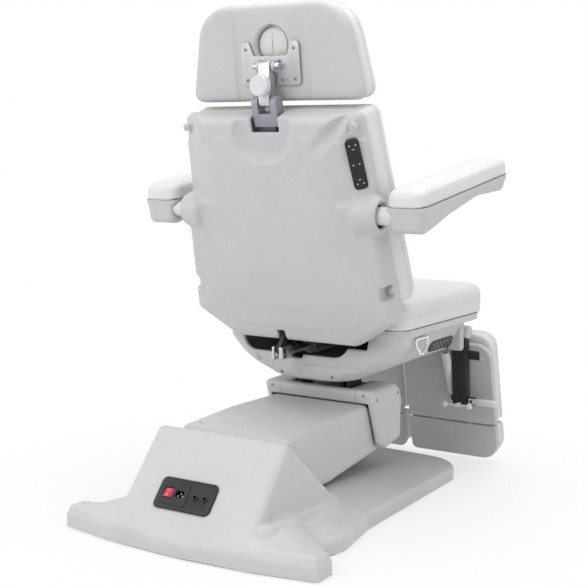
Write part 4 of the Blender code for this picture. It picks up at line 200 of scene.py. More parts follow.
def moulded(name, colour, roughness, coat=0.0):
    """Painted or moulded plastic: faint mottling, fine peel, worn edges."""
    look = Look(name)
    mottle = look.sum((0.6, look.noise(5.0, 4)), (0.4, look.noise(48.0, 2)))
    base = look.blend(look.remap(mottle, 0.0, 1.0, 0.38, 0.62), tone(colour, 0.965), tone(colour, 1.02))
    worn = look.sum((0.35, look.edges(0.53, 0.60)))
    look.set(Base_Color=look.blend(worn, base, tone(colour, 1.12)))
    look.set(Roughness=look.remap(look.noise(26.0, 4), roughness - 0.06, roughness + 0.08))
    look.set(Specular_IOR_Level=0.4, Coat_Weight=coat, Coat_Roughness=0.25)
    look.bump((look.noise(9.0, 2), 0.004, 0.05), (look.noise(1300.0, 2), 0.0003, 0.14))
    return look.material


def upholstery(name, colour):
    """Coated fabric with a leather grain and soft creases."""
    look = Look(name)
    cells = look.add("TexVoronoi", {"Vector": look.place, "Scale": 520.0, "Randomness": 0.9},
                     feature="DISTANCE_TO_EDGE").outputs["Distance"]
    grain = look.remap(cells, 0.0, 1.0, 0.0, 0.22)
    creases = look.noise(36.0, 5)
    mottle = look.sum((0.55, look.noise(7.0, 4)), (0.45, creases))
    base = look.blend(look.remap(mottle, 0.0, 1.0, 0.36, 0.64), tone(colour, 0.965), tone(colour, 1.015))
    look.set(Base_Color=look.blend(grain, tone(colour, 0.90), base))
    look.set(Roughness=look.remap(look.sum((0.7, look.noise(60.0, 3)), (0.3, grain)), 0.40, 0.56))
    look.set(Specular_IOR_Level=0.45, Sheen_Weight=0.06, Sheen_Roughness=0.4)
    look.bump((creases, 0.0035, 0.07), (grain, 0.0004, 0.30))
    return look.material


def metal(name, colour, roughness, stretch=(1, 1, 1), metallic=1.0, dark=0.88):
    """Metal with brushed or cast variation and a few scuffs."""
    look = Look(name)
    brushed = look.noise(420.0, 4, stretch)
    patches = look.noise(14.0, 4)
    scuffs = look.remap(look.noise(160.0, 6), 0.0, 1.0, 0.60, 0.72)
    shade = look.remap(look.sum((0.5, brushed), (0.5, patches)), 0.0, 1.0)
    base = look.blend(shade, tone(colour, dark), colour)
    look.set(Base_Color=look.blend(look.sum((0.5, scuffs)), base, tone(colour, 1.1)), Metallic=metallic)
    polish = look.sum((0.6, brushed), (0.4, patches))
    look.set(Roughness=look.remap(polish, roughness - 0.06, roughness + 0.10))
    look.bump((brushed, 0.0003, 0.10))
    return look.material


GREY = moulded("grey_cover_shell", (0.565, 0.567, 0.572), 0.42)
WHITE = moulded("white_cover_shell", (0.585, 0.587, 0.592), 0.38)
# Slightly darker copy of the grey cover for the leg boards: painted shade for their place beneath the seat.
SHADED_PANEL = moulded("leg_panel_painted_shade", (0.545, 0.547, 0.553), 0.44)
HIDE = upholstery("white_hide", (0.775, 0.762, 0.742))
THREAD = moulded("pale_thread", (0.62, 0.61, 0.59), 0.7)
DARK_THREAD = moulded("dark_thread", (0.035, 0.034, 0.034), 0.7)
BLACK = moulded("black_moulding", (0.011, 0.011, 0.0125), 0.36)
MARK = moulded("printed_mark", (0.62, 0.63, 0.65), 0.5)
RED = moulded("red_moulding", (0.60, 0.030, 0.070), 0.26, 0.3)
IVORY = moulded("white_moulding", (0.70, 0.70, 0.715), 0.30, 0.2)
STEEL = metal("painted_steel", (0.030, 0.030, 0.033), 0.46, metallic=0.25)
ZINC = metal("plated_zinc", (0.62, 0.62, 0.64), 0.34, (1, 8, 1))
CHROME = metal("polished_chrome", (0.80, 0.80, 0.82), 0.14)
MOTOR = moulded("drive_housing", (0.27, 0.27, 0.28), 0.48)
CAST = metal("fork_cast", (0.33, 0.33, 0.375), 0.42, metallic=0.45)
PLATE = metal("plate_satin", (0.52, 0.52, 0.535), 0.42, (1, 1, 6), metallic=0.55)
BOLT = metal("screw_head", (0.30, 0.30, 0.31), 0.34)

SLOTS = {"grey_cover": (GREY, SHADED_PANEL), "white_cover": (WHITE,), "white_upholstery": (HIDE, THREAD),
         "black_plastic": (BLACK, DARK_THREAD), "white_plastic": (IVORY, MARK), "red_rocker": (RED,),
         "frame_steel": (STEEL,), "plated_steel": (ZINC, PLATE, BOLT), "chrome": (CHROME,),
         "fork_casting": (CAST,)}
SLOT_OF = {material.name: slot for slot, materials in SLOTS.items() for material in materials}


# Shapes

def mix(low, high, share):
    return low + (high - low) * share


def rounded(corners, facet=8.0):
    """Closed outline from corners (a, b, radius)."""
    outline = []
    for index, (a, b, radius) in enumerate(corners):
        here = Vector((a, b))
        back = Vector(corners[index - 1][:2]) - here
        ahead = Vector(corners[(index + 1) % len(corners)][:2]) - here
        if radius <= 0:
            outline.append((a, b))
            continue
        half = back.angle(ahead) / 2
        tangent = min(radius / math.tan(half), 0.49 * back.length, 0.49 * ahead.length)
        radius = tangent * math.tan(half)
        centre = here + (back.normalized() + ahead.normalized()).normalized() * radius / math.sin(half)
        start = here + back.normalized() * tangent - centre
        end = here + ahead.normalized() * tangent - centre
        turn = math.pi - 2 * half
        if start.x * end.y - start.y * end.x < 0:
            turn = -turn
        steps = max(2, math.ceil(abs(math.degrees(turn)) / facet))
        for step in range(steps + 1):
            angle = turn * step / steps
            outline.append((centre.x + start.x * math.cos(angle) - start.y * math.sin(angle),
                            centre.y + start.x * math.sin(angle) + start.y * math.cos(angle)))
    return outline


def both_halves(corners):
    return corners + [(-x, y, radius) for x, y, radius in reversed(corners) if x > 0]


def rectangle(half_a, half_b, radius, centre=(0.0, 0.0)):
    return rounded([(centre[0] + a * half_a, centre[1] + b * half_b, radius)
                    for a, b in ((1, 1), (1, -1), (-1, -1), (-1, 1))])


def placed(data):
    """New object in the scene for a mesh or a curve."""
    shape = bpy.data.objects.new("shape", data)
    SCENE.collection.objects.link(shape)
    return shape


def shape_of(points, faces):
    mesh = bpy.data.meshes.new("shape")
    mesh.from_pydata([tuple(point) for point in points], [], faces)
    mesh.update()
    return placed(mesh)


def edit(shape, work):
    bm = bmesh.new()
    bm.from_mesh(shape.data)
    work(bm)
    bm.to_mesh(shape.data)
    bm.free()
    return shape


def skin(rings):
    """Solid through rings of equal point counts, with capped ends."""
    count = len(rings[0])
    points = [point for ring in rings for point in ring]
    faces = []
    for row in range(len(rings) - 1):
        for index in range(count):
            after = (index + 1) % count
            faces.append((row * count + index, row * count + after, (row + 1) * count + after,
                          (row + 1) * count + index))
    faces.append(tuple(range(count)))
    faces.append(tuple(range((len(rings) - 1) * count, len(rings) * count)))
    return edit(shape_of(points, faces), lambda bm: bmesh.ops.recalc_face_normals(bm, faces=bm.faces))


def prism(outline, axis, low, high):
    """Extrude an outline along X (points y, z), Y (points x, z) or Z (points x, y)."""
    def at(point, depth):
        a, b = point
        return {"X": (depth, a, b), "Y": (a, depth, b), "Z": (a, b, depth)}[axis]
    return skin([[at(point, low) for point in outline], [at(point, high) for point in outline]])


def lathe(profile, matrix, sides=40, ribs=0, rib_depth=0.0):
    """Turned solid from (radius, height) pairs about the matrix's z axis; ribs flute its widest rings."""
    widest = max(radius for radius, height in profile)
    rings = []
    for radius, height in profile:
        ring = []
        for step in range(sides):
            angle = 2 * math.pi * step / sides
            cut = rib_depth * (0.5 + 0.5 * math.cos(angle * ribs)) if radius > widest * 0.97 else 0.0
            reach = radius - cut
            ring.append(matrix @ Vector((reach * math.cos(angle), reach * math.sin(angle), height)))
        rings.append(ring)
    return skin(rings)


def open_ends(bm):
    """Drop the flat end faces of a turned piece."""
    bmesh.ops.delete(bm, geom=[face for face in bm.faces if len(face.verts) > 4], context="FACES")


def facing(point, direction):
    """Matrix at a point whose z axis runs along a direction."""
    return Matrix.Translation(point) @ Vector(direction).to_track_quat("Z", "Y").to_matrix().to_4x4()


def rod(start, end, radius, sides=24):
    start = Vector(start)
    run = Vector(end) - start
    return lathe([(radius, 0.0), (radius, run.length)], facing(start, run), sides)


def bake(shape):
    graph = bpy.context.evaluated_depsgraph_get()
    mesh = bpy.data.meshes.new_from_object(shape.evaluated_get(graph))
    shape.modifiers.clear()
    shape.data = mesh
    return shape


def cut(shape, *others):
    for other in others:
        modifier = shape.modifiers.new("cut", "BOOLEAN")
        modifier.operation = "DIFFERENCE"
        modifier.object = other
    bake(shape)
    for other in others:
        bpy.data.objects.remove(other)
    return shape


def soften(shape, width, segments=3, angle=40):
    bevel = shape.modifiers.new("soften", "BEVEL")
    bevel.width = width
    bevel.segments = segments
    bevel.limit_method = "ANGLE"
    bevel.angle_limit = math.radians(angle)
    return bake(shape)


def joined(shapes):
    """One mesh from several loose shapes."""
    bm = bmesh.new()
    for shape in shapes:
        bm.from_mesh(shape.data)
        bpy.data.objects.remove(shape)
    mesh = bpy.data.meshes.new("shape")
    bm.to_mesh(mesh)
    bm.free()
    return placed(mesh)


def copy_of(shape):
    return placed(shape.data.copy())


def sided(shape, side):
    """Pieces of a pair are shaped on the left and mirrored for the right."""
    if side < 0:
        shape.data.transform(Matrix.Scale(-1, 4, (1, 0, 0)))
        shape.data.flip_normals()
    return shape


def twin(shape, side):
    return sided(copy_of(shape), side)


def dress(shape, name, body, material, *replaced, sharp=38):
    """Name a piece, finish it, and set it on its body in place of the CAD nodes that it replaces."""
    shape.name = name
    shape.data.name = name
    shape.data.materials.clear()
    shape.data.materials.append(material)
    if shape.type == "MESH":
        shape.data.shade_smooth()
        if sharp:
            shape.data.set_sharp_from_angle(angle=math.radians(sharp))
    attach(shape, body)
    if replaced:
        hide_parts(*replaced)
    return shape


def refined(node, material, width=0.0012, segments=2):
    """CAD shape with its sharp edges eased, as a new piece in the node's place."""
    shape = placed(NODES[node].data.copy())

    def clean(bm):
        bmesh.ops.remove_doubles(bm, verts=bm.verts, dist=2e-5)
        bmesh.ops.dissolve_limit(bm, angle_limit=math.radians(1.0), verts=bm.verts, edges=bm.edges)
    edit(shape, clean)
    for name in ("custom_normal", "sharp_face", "sharp_edge"):
        if name in shape.data.attributes:
            shape.data.attributes.remove(shape.data.attributes[name])
    soften(shape, width, segments, 32)
    return dress(shape, node + "_eased", BODY_NAME[NODES[node].parent.name], material, node)


# Moulded covers: the zero surface of a distance field, found on a grid

def smooth_min(a, b, k):
    return np.minimum(a, b) - np.maximum(k - np.abs(a - b), 0.0) ** 2 / (4 * k)


def smooth_max(a, b, k):
    return np.maximum(a, b) + np.maximum(k - np.abs(a - b), 0.0) ** 2 / (4 * k)


def overlap(*fields):
    return functools.reduce(np.maximum, fields)


def union(*fields):
    return functools.reduce(np.minimum, fields)


def step_up(value, start, end):
    share = np.clip((value - start) / (end - start), 0.0, 1.0)
    return share * share * (3 - 2 * share)


def box_field(half_a, half_b, radius, a, b):
    qa = np.abs(a) - half_a + radius
    qb = np.abs(b) - half_b + radius
    return np.hypot(np.maximum(qa, 0), np.maximum(qb, 0)) + np.minimum(np.maximum(qa, qb), 0) - radius


def outline_field(outline, a, b):
    """Signed distance to a closed outline, negative inside."""
    a, b = np.broadcast_arrays(a, b)
    best = np.full(a.shape, 1e9)
    inside = np.zeros(a.shape, bool)
    for (a0, b0), (a1, b1) in zip(outline, outline[1:] + outline[:1]):
        da = a1 - a0
        db = b1 - b0
        if da * da + db * db < 1e-14:
            continue
        along = np.clip(((a - a0) * da + (b - b0) * db) / (da * da + db * db), 0, 1)
        best = np.minimum(best, (a - a0 - along * da) ** 2 + (b - b0 - along * db) ** 2)
        if abs(db) > 1e-12:
            inside ^= ((b0 > b) != (b1 > b)) & (a < da * (b - b0) / db + a0)
    return np.where(inside, -np.sqrt(best), np.sqrt(best))


def surface(field, low, high, step):
    """Points and quads of a field's zero surface (one point per crossed cell)."""
    axes = [np.arange(start, end + step, step) for start, end in zip(low, high)]
    values = field(*np.meshgrid(*axes, indexing="ij", sparse=True))
    grid = np.broadcast_to(values, [len(axis) for axis in axes])
    cells = [len(axis) - 1 for axis in axes]
    owners = []
    points = []
    flips = []
    for axis in range(3):
        first = np.take(grid, range(cells[axis]), axis)
        second = np.take(grid, range(1, cells[axis] + 1), axis)
        where = np.argwhere((first < 0) != (second < 0))
        sides = [other for other in range(3) if other != axis]
        for other in sides:
            where = where[(where[:, other] > 0) & (where[:, other] < cells[other])]
        a = first[tuple(where.T)]
        b = second[tuple(where.T)]
        spot = np.stack([axes[k][where[:, k]] for k in range(3)], 1)
        spot[:, axis] += step * a / (a - b)
        ring = []
        for back_a, back_b in ((1, 1), (0, 1), (0, 0), (1, 0)):
            cell = where.copy()
            cell[:, sides[0]] -= back_a
            cell[:, sides[1]] -= back_b
            ring.append(np.ravel_multi_index(tuple(cell.T), cells))
        owners.append(np.stack(ring, 1))
        points.append(spot)
        flips.append((a < 0) == (axis == 1))
    owners = np.concatenate(owners)
    points = np.repeat(np.concatenate(points), 4, 0)
    flips = np.concatenate(flips)
    unique, index = np.unique(owners.ravel(), return_inverse=True)
    count = np.bincount(index)
    spots = np.stack([np.bincount(index, points[:, k]) / count for k in range(3)], 1)
    quads = index.reshape(-1, 4)
    quads[flips] = quads[flips][:, ::-1]
    return spots, quads


def slice_mesh(bm, point, normal, clear=True):
    """Cut along a plane, and drop what lies ahead of it."""
    bmesh.ops.bisect_plane(bm, geom=bm.verts[:] + bm.edges[:] + bm.faces[:], dist=1e-6, plane_co=point,
                           plane_no=normal, clear_outer=clear)


def shell(field, low, high, step, through, trims=(), lip=0.006):
    """Skin of a moulded cover: the outer surface of a field, opened by through and trimmed by planes."""
    def whole(x, y, z):
        return smooth_max(field(x, y, z), -through(x, y, z), 0.003)

    spots, quads = surface(whole, low, high, step)
    quads = quads[field(*spots[quads].mean(1).T) > -lip]
    shape = shape_of(spots, quads.tolist())

    def work(bm):
        for face in bm.faces:
            face.smooth = True
        bmesh.ops.smooth_vert(bm, verts=[v for v in bm.verts if not v.is_boundary], factor=0.5,
                              use_axis_x=True, use_axis_y=True, use_axis_z=True)
        for point, normal in trims:
            slice_mesh(bm, point, normal)
        loose = [v for v in bm.verts if not v.link_faces]
        bmesh.ops.delete(bm, geom=loose, context="VERTS")
    return edit(shape, work)


def thick(shape, wall):
    modifier = shape.modifiers.new("wall", "SOLIDIFY")
    modifier.thickness = wall
    modifier.offset = -1
    return bake(shape)


def split(shape, point, normal, gap):
    """Cut an open skin in two along a plane, with a gap: the part behind the plane and the one ahead."""
    other = copy_of(shape)
    normal = Vector(normal)
    for part, sign in ((shape, 1), (other, -1)):
        def trim(bm, sign=sign):
            slice_mesh(bm, Vector(point) - normal * sign * gap / 2, normal * sign)
        edit(part, trim)
    return shape, other


# Padding

def puff(shape, floor, voxel, pressure=PRESSURE):
    """Swell a cushion with cloth, out to its first skin at most. floor(co) is the height over its seat."""
    remesh = shape.modifiers.new("remesh", "REMESH")
    remesh.mode = "VOXEL"
    remesh.voxel_size = voxel
    bake(shape)
    smooth = shape.modifiers.new("smooth", "SMOOTH")
    smooth.iterations = 2
    bake(shape)
    mesh = shape.data
    pins = shape.vertex_groups.new(name="held")
    base = [Vector(vertex.co) for vertex in mesh.vertices]
    outward = [Vector(vertex.normal) for vertex in mesh.vertices]
    for vertex, normal in zip(mesh.vertices, outward):
        height = floor(vertex.co)
        if height < 0.004:
            pins.add([vertex.index], 1.0, "REPLACE")
        else:
            vertex.co -= normal * SWELL * min(1.0, height / 0.02)
    cloth = shape.modifiers.new("cloth", "CLOTH")
    fabric = cloth.settings
    fabric.quality = 5
    fabric.mass = 0.4
    fabric.tension_stiffness = 12
    fabric.compression_stiffness = 12
    fabric.shear_stiffness = 6
    fabric.bending_stiffness = 1.5
    fabric.vertex_group_mass = "held"
    fabric.use_pressure = True
    fabric.uniform_pressure_force = pressure
    fabric.effector_weights.gravity = 0
    cloth.collision_settings.use_collision = False
    cloth.point_cache.frame_start = 1
    cloth.point_cache.frame_end = CLOTH_FRAMES
    for number in range(1, CLOTH_FRAMES + 1):
        SCENE.frame_set(number)
    graph = bpy.context.evaluated_depsgraph_get()
    swollen = [Vector(v.co) for v in shape.evaluated_get(graph).data.vertices]
    shape.modifiers.clear()
    for vertex, place, normal, rest in zip(mesh.vertices, swollen, outward, base):
        swell = min(max((place - vertex.co).dot(normal), 0.0), SWELL)
        vertex.co += normal * swell
        if floor(vertex.co) < 0.0:
            vertex.co = rest
    SCENE.frame_set(1)
    shape.vertex_groups.clear()
    mesh.update()
    return shape


def cushion(outline, depth, crown, place, roll, pull):
    """Padded solid: sides drawn in at the seam, rolled edge, crowned face. place(a, b, height)."""
    a_values = [a for a, b in outline]
    b_values = [b for a, b in outline]
    width = max(a_values) - min(a_values)
    height = max(b_values) - min(b_values)
    mid_a = (max(a_values) + min(a_values)) / 2
    mid_b = (max(b_values) + min(b_values)) / 2
    middle = min(width, height) / 2
    profile = [(pull, 0.0), (pull / 2, 0.15 * depth), (pull / 5, 0.32 * depth), (0.0, 0.6 * depth)]
    for degrees in (15, 30, 45, 60, 75, 90):
        angle = math.radians(degrees)
        profile.append((roll * (1 - math.cos(angle)), depth * (0.6 + 0.4 * math.sin(angle))))
    for share in (0.15, 0.3, 0.45, 0.6, 0.75, 0.9):
        profile.append((mix(roll, middle * 0.95, share), depth + crown * (1 - (1 - share) ** 2)))
    rings = []
    for inset, rise in profile:
        scale_a = 1 - 2 * inset / width
        scale_b = 1 - 2 * inset / height
        rings.append([place(mid_a + (a - mid_a) * scale_a, mid_b + (b - mid_b) * scale_b, rise)
                      for a, b in outline])
    return skin(rings)


def tube(name, paths, radius, body, material, closed=True):
    """Round cord or thread along one or more point lists."""
    curve = bpy.data.curves.new(name, "CURVE")
    curve.dimensions = "3D"
    curve.bevel_depth = radius
    curve.bevel_resolution = 2
    for path in paths:
        spline = curve.splines.new("POLY")
        spline.points.add(len(path) - 1)
        for point, co in zip(spline.points, path):
            point.co = (*co, 1)
        spline.use_cyclic_u = closed
    shape = placed(curve)
    mesh = bpy.data.meshes.new_from_object(shape.evaluated_get(bpy.context.evaluated_depsgraph_get()))
    bpy.data.objects.remove(shape)
    solid = placed(mesh)
    return dress(solid, name, body, material)


def on_surface(shape, points, lift):
    """Points laid on a shape's skin."""
    bm = bmesh.new()
    bm.from_mesh(shape.data)
    tree = BVHTree.FromBMesh(bm)
    laid = []
    for point in points:
        co, normal, _, _ = tree.find_nearest(Vector(point))
        laid.append(co + normal * lift)
    bm.free()
    return laid


def evenly(path, pitch):
    """Resample a closed path at an even pitch."""
    path = [Vector(p) for p in path] + [Vector(path[0])]
    lengths = [0.0]
    for a, b in zip(path, path[1:]):
        lengths.append(lengths[-1] + (b - a).length)
    count = max(8, int(lengths[-1] / pitch))
    out = []
    index = 0
    for step in range(count):
        target = lengths[-1] * step / count
        while lengths[index + 1] < target:
            index += 1
        share = (target - lengths[index]) / max(1e-9, lengths[index + 1] - lengths[index])
        out.append(path[index].lerp(path[index + 1], share))
    return out


def sew(name, shape, ring, body, shift):
    """A sewn seam laid on a cushion: a thin cord with a row of stitches beside it."""
    line = on_surface(shape, evenly(ring, 0.006), 0.0002)
    tube(name + "_seam", [line], 0.0011, body, HIDE)
    beside = on_surface(shape, [point + shift for point in evenly(ring, 0.0045)], 0.0001)
    stitches = [(here.lerp(after, 0.15), here.lerp(after, 0.8))
                for here, after in zip(beside, beside[1:] + beside[:1])]
    tube(name + "_stitches", stitches, 0.00045, body, THREAD, closed=False)


# Base

def base_outline():
    return rounded(both_halves([(0, 0.570, 0.5), (0.215, 0.556, 0.12), (0.385, 0.526, 0.012),
                                (0.380, 0.459, 0.016), (0.302, 0.3845, 0.045), (0.324, 0.310, 0.100),
                                (0.286, 0.126, 0.300), (0.256, -0.505, 0.120), (0, -0.527, 0.9)]))


def foot_field(x, y, z):
    """Low foot with a crowned deck and two flat-topped wings."""
    outline = base_outline()
    edge = outline_field(outline, x, y)
    shares = np.linspace(0, 1, 9)
    layers = []
    for s in shares:
        smaller = [(a * (1 - s * 0.19 / 0.385), b * (1 - s * 0.095 / 0.526)) for a, b in outline]
        layers.append(outline_field(smaller, x, y))
    share = np.zeros_like(edge)
    for index in range(len(shares) - 1):
        inner = layers[index]
        outer = layers[index + 1]
        ahead = (inner < 0) & (outer >= 0)
        share = np.where(ahead, shares[index] + shares[1] * inner / np.minimum(inner - outer, -1e-9), share)
    share = np.where(layers[-1] < 0, 1.0, share)
    fall = mix(1.0, 0.5, np.clip((BASE_SPLIT - y) / 0.5, 0, 1))
    crown = np.interp(share, [0, 0.06, 0.42, 0.8, 1.0], [0.001, 0.0085, 0.0287, 0.0488, 0.0568])
    height = 0.035 + crown * fall
    deck = smooth_max(edge, (z - height) * 0.96, 0.010)
    wing = outline_field([(0.3835, 0.5258), (0.3805, 0.4602), (0.19, 0.4602), (0.19, 0.5560)], np.abs(x), y)
    wing = wing + np.interp(z, [0.003, 0.034, 0.054, 0.060], [0, 0.0008, 0.005, 0.008])
    wing = smooth_max(wing, z - 0.060, 0.008)
    return smooth_min(deck, wing, 0.010)


def base_field(x, y, z):
    rear = np.minimum(mix(TOWER_REAR, TOWER_RIDGE, (z - TOWER_FOOT) / (TOWER_TOP - TOWER_FOOT)), 0.5545)
    rise = np.clip((z - 0.096) / 0.168, 0, 1)
    half = mix(0.2055, 0.200, rise)
    front = mix(0.168, 0.359, rise)
    tower = box_field(half, (rear - front) / 2, 0.020, x, y - (rear + front) / 2) * 0.77
    tower = smooth_max(tower, z - TOWER_TOP, 0.012)
    end = rear - 0.006
    half = 0.235 - 0.02 * np.clip(z - 0.034, 0, 0.1)
    plinth = box_field(half, (end - 0.156) / 2, 0.045, x, y - (end + 0.156) / 2)
    plinth = smooth_max(plinth * 0.77, z - 0.095, 0.008)
    foot = smooth_min(foot_field(x, y, z), plinth, 0.016)
    return smooth_min(foot, tower, 0.006)


def base_openings(x, y, z):
    slot = overlap(np.abs(x) - 0.1700, 0.150 - y, y - 0.359)
    u, v, w = (row[0] * x + row[1] * y + row[2] * z + row[3] for row in INLET.inverted()[:3])
    panel = np.maximum(box_field(0.0815, 0.0375, 0.012, u, v), np.abs(w) - 0.03)
    return np.minimum(slot, panel)


def base_covers():
    whole = shell(base_field, (-0.41, -0.55, -0.012), (0.41, 0.60, 0.285), 0.0045, base_openings,
                  [((0, 0, 0.003), (0, 0, -1))])
    front, rear = split(whole, (0, BASE_SPLIT, 0), (0, 1, 0), SEAM)
    thick(rear, BASE_WALL)
    spots = [(side * a, b, 0.11) for side in (1, -1) for a, b in ((0.2185, 0.452), (0.193, 0.146))]
    places = [(spot, (0, 0, 1)) for spot in on_surface(rear, spots, 0.0)]
    screws("base_screws", "base", places, 0.0070, WHITE)
    dress(rear, "tower_moulding", "base", WHITE, "tower_cover", sharp=50)
    dress(thick(front, BASE_WALL), "front_moulding", "base", GREY, "front_cover", sharp=50)


def fitted(shapes, matrix, name, body, material, *replaced):
    """Small pieces shaped in a plane of their own, set there as one."""
    shape = joined(shapes)
    shape.data.transform(matrix)
    return dress(shape, name, body, material, *replaced)


def inlet_fittings():
    refined("inlet_panel", BLACK, 0.0015)
    bezel = prism(rectangle(0.042, 0.031, 0.005, (-0.034, 0.0)), "Z", 0.0045, 0.0066)
    soften(bezel, 0.0012)
    well = prism(rectangle(0.0132, 0.0148, 0.002, (-0.052, 0.0)), "Z", 0.0, 0.02)
    socket = prism(rectangle(0.01235, 0.0089, 0.003, (-0.016, 0.0)), "Z", 0.0, 0.02)
    fitted([cut(bezel, well, socket)], INLET, "inlet_bezel", "base", BLACK)
    blades = [prism(rectangle(0.0010, 0.0020, 0.0004, (-0.016 + a, b)), "Z", -0.0105, 0.0010)
              for a, b in ((-0.0070, -0.0030), (0.0070, -0.0030), (0.0, 0.0035))]
    fitted(blades, INLET, "inlet_blades", "base", ZINC)
    profile = [(0.0054, -0.008), (0.0054, 0.0052), (0.0092, 0.0052), (0.0092, 0.0066), (0.0082, 0.0074),
               (0.0064, 0.0074), (0.0046, 0.0066), (0.0042, -0.008)]
    jacks = [lathe(profile, Matrix.Translation((x, 0, 0)), 32) for x in (0.060, 0.030)]
    fitted(jacks, INLET, "inlet_jacks", "base", BLACK)
    half = 0.0125
    side = [(-half, -0.003)]
    for step in range(13):
        share = step / 6 - 1
        side.append((half * share, 0.0062 - 0.0017 * share - 0.0010 * (1 - share ** 2)))
    side.append((half, -0.003))
    rocker = soften(prism(side, "X", -0.0637, -0.0403), 0.0006, 2, 50)
    fitted([rocker], INLET, "rocker_moulding", "rocker", RED, "power_switch")
    marks = [prism(rectangle(0.0006, 0.0026, 0.0003, (-0.052, 0.0065)), "Z", 0.0047, 0.0054),
             lathe([(0.0022, 0), (0.0022, 0.0006), (0.0014, 0.0006), (0.0014, 0)],
                   Matrix.Translation((-0.052, -0.0065, 0.0068)), 24)]
    fitted(marks, INLET, "rocker_marks", "rocker", MARK)


def screw(matrix, radius):
    """Domed screw head with a cross recess, lying on its matrix's xy plane."""
    height = 0.0022
    dome = [(1, 0.2), (0.9, 0.6), (0.65, 0.9), (0.3, 1), (0.05, 1)]
    profile = [(radius, -0.001)] + [(radius * out, height * up) for out, up in dome]
    head = lathe(profile, Matrix.Identity(4), 28)
    arm = radius * 0.55
    cut(head, prism(rectangle(arm, radius * 0.11, 0.0), "Z", height * 0.4, 1),
        prism(rectangle(radius * 0.11, arm, 0.0), "Z", height * 0.4, 1))
    head.data.transform(matrix)
    return head


def screws(name, body, places, radius, material=BOLT):
    heads = [screw(facing(point, direction), radius) for point, direction in places]
    return dress(joined(heads), name, body, material)


# Lifting arm and carriage

def arm_half(y):
    return 0.150 + 0.016 * (y + 0.205) / 0.550


def arm_field(x, y, z):
    profile = rounded([(0.312, 0.258, 0.004), (0.1166, 0.2715, 0.5), (-0.095, 0.2715, 0.006),
                       (-0.150, 0.238, 0.02), (-0.205, 0.220, 0.03), (-0.187, 0.134, 0.02),
                       (0.1162, 0.100, 0.2), (0.2998, 0.110, 0.05), (0.378, 0.165, 0.02),
                       (0.367, 0.211, 0.02)])
    side = np.abs(x) - arm_half(y)
    groove = np.abs(z - (0.1525 - (y - 0.06) * 0.0205)) - 0.0012
    side = side + 0.0012 * step_up(-groove, -0.0025, 0.0006)
    return smooth_max(outline_field(profile, y, z), side, 0.012)


def arm_opening(x, y, z):
    room = np.minimum(z - 0.235, y + 0.100)
    return np.maximum(np.abs(x) - arm_half(y) + 0.010, room)


def arm_cover():
    shape = shell(arm_field, (-0.18, -0.225, 0.085), (0.18, 0.395, 0.29), 0.004, arm_opening, lip=0.008)
    dress(thick(shape, ARM_WALL), "arm_moulding", "arm", GREY, "arm_cover", sharp=50)
    places = [((side * a, y, z), (0, lean, 1)) for side in (1, -1) for a, y, z, lean in
              ((0.131, 0.285, 0.2600, 0.069), (0.124, -0.043, 0.2715, 0.0))]
    screws("arm_screws", "arm", places, 0.0060, GREY)


def saddle_field(x, y, z):
    rear, front, top, low = -0.075, -0.262, 0.317, 0.135
    profile = rounded([(rear, top - 0.004, 0.012), (rear - 0.008, mix(low, top, 0.82), 0.05),
                       (rear - 0.055, low + 0.018, 0.02), (rear - 0.096, low, 0.03),
                       (front + 0.006, low + 0.016, 0.012), (front, mix(low, top, 0.62), 0.05),
                       (front + 0.016, top - 0.014, 0.03), (front + 0.050, top, 0.03)])
    side = np.abs(x) - 0.178
    line = 0.247 - (y + 0.17) * 0.06
    side = side + 0.0030 * (1 - step_up(z - line, -0.0035, 0.0015))
    return smooth_max(outline_field(profile, y, z), side, 0.018)


def saddle_opening(x, y, z):
    passage = overlap(np.abs(x) - 0.1586, -0.220 - y, z - 0.2745)
    hatch = overlap(np.abs(x) - 0.100, -0.237 - y, y + 0.100, 0.2745 - z)
    return np.minimum(passage, hatch)


def carriage_covers():
    whole = shell(saddle_field, (-0.19, -0.28, 0.12), (0.19, -0.06, 0.335), 0.0035, saddle_opening)
    low, rest = split(whole, (-0.124, 0, 0), (1, 0, 0), SEAM)
    middle, high = split(rest, (0.124, 0, 0), (1, 0, 0), SEAM)
    for part, label in ((low, "right"), (middle, "middle"), (high, "left")):
        dress(thick(part, WALL), "carriage_moulding_" + label, "carriage", GREY,
              "carriage_cover_" + label, sharp=50)
    places = [((side * 0.150, -0.0792, 0.300), (0, 1, 0.1)) for side in (1, -1)]
    places += [((side * 0.1778, y, 0.287), (side, 0, 0)) for side in (1, -1) for y in (-0.105, -0.225)]
    screws("carriage_screws", "carriage", places, 0.0042)


# Seat

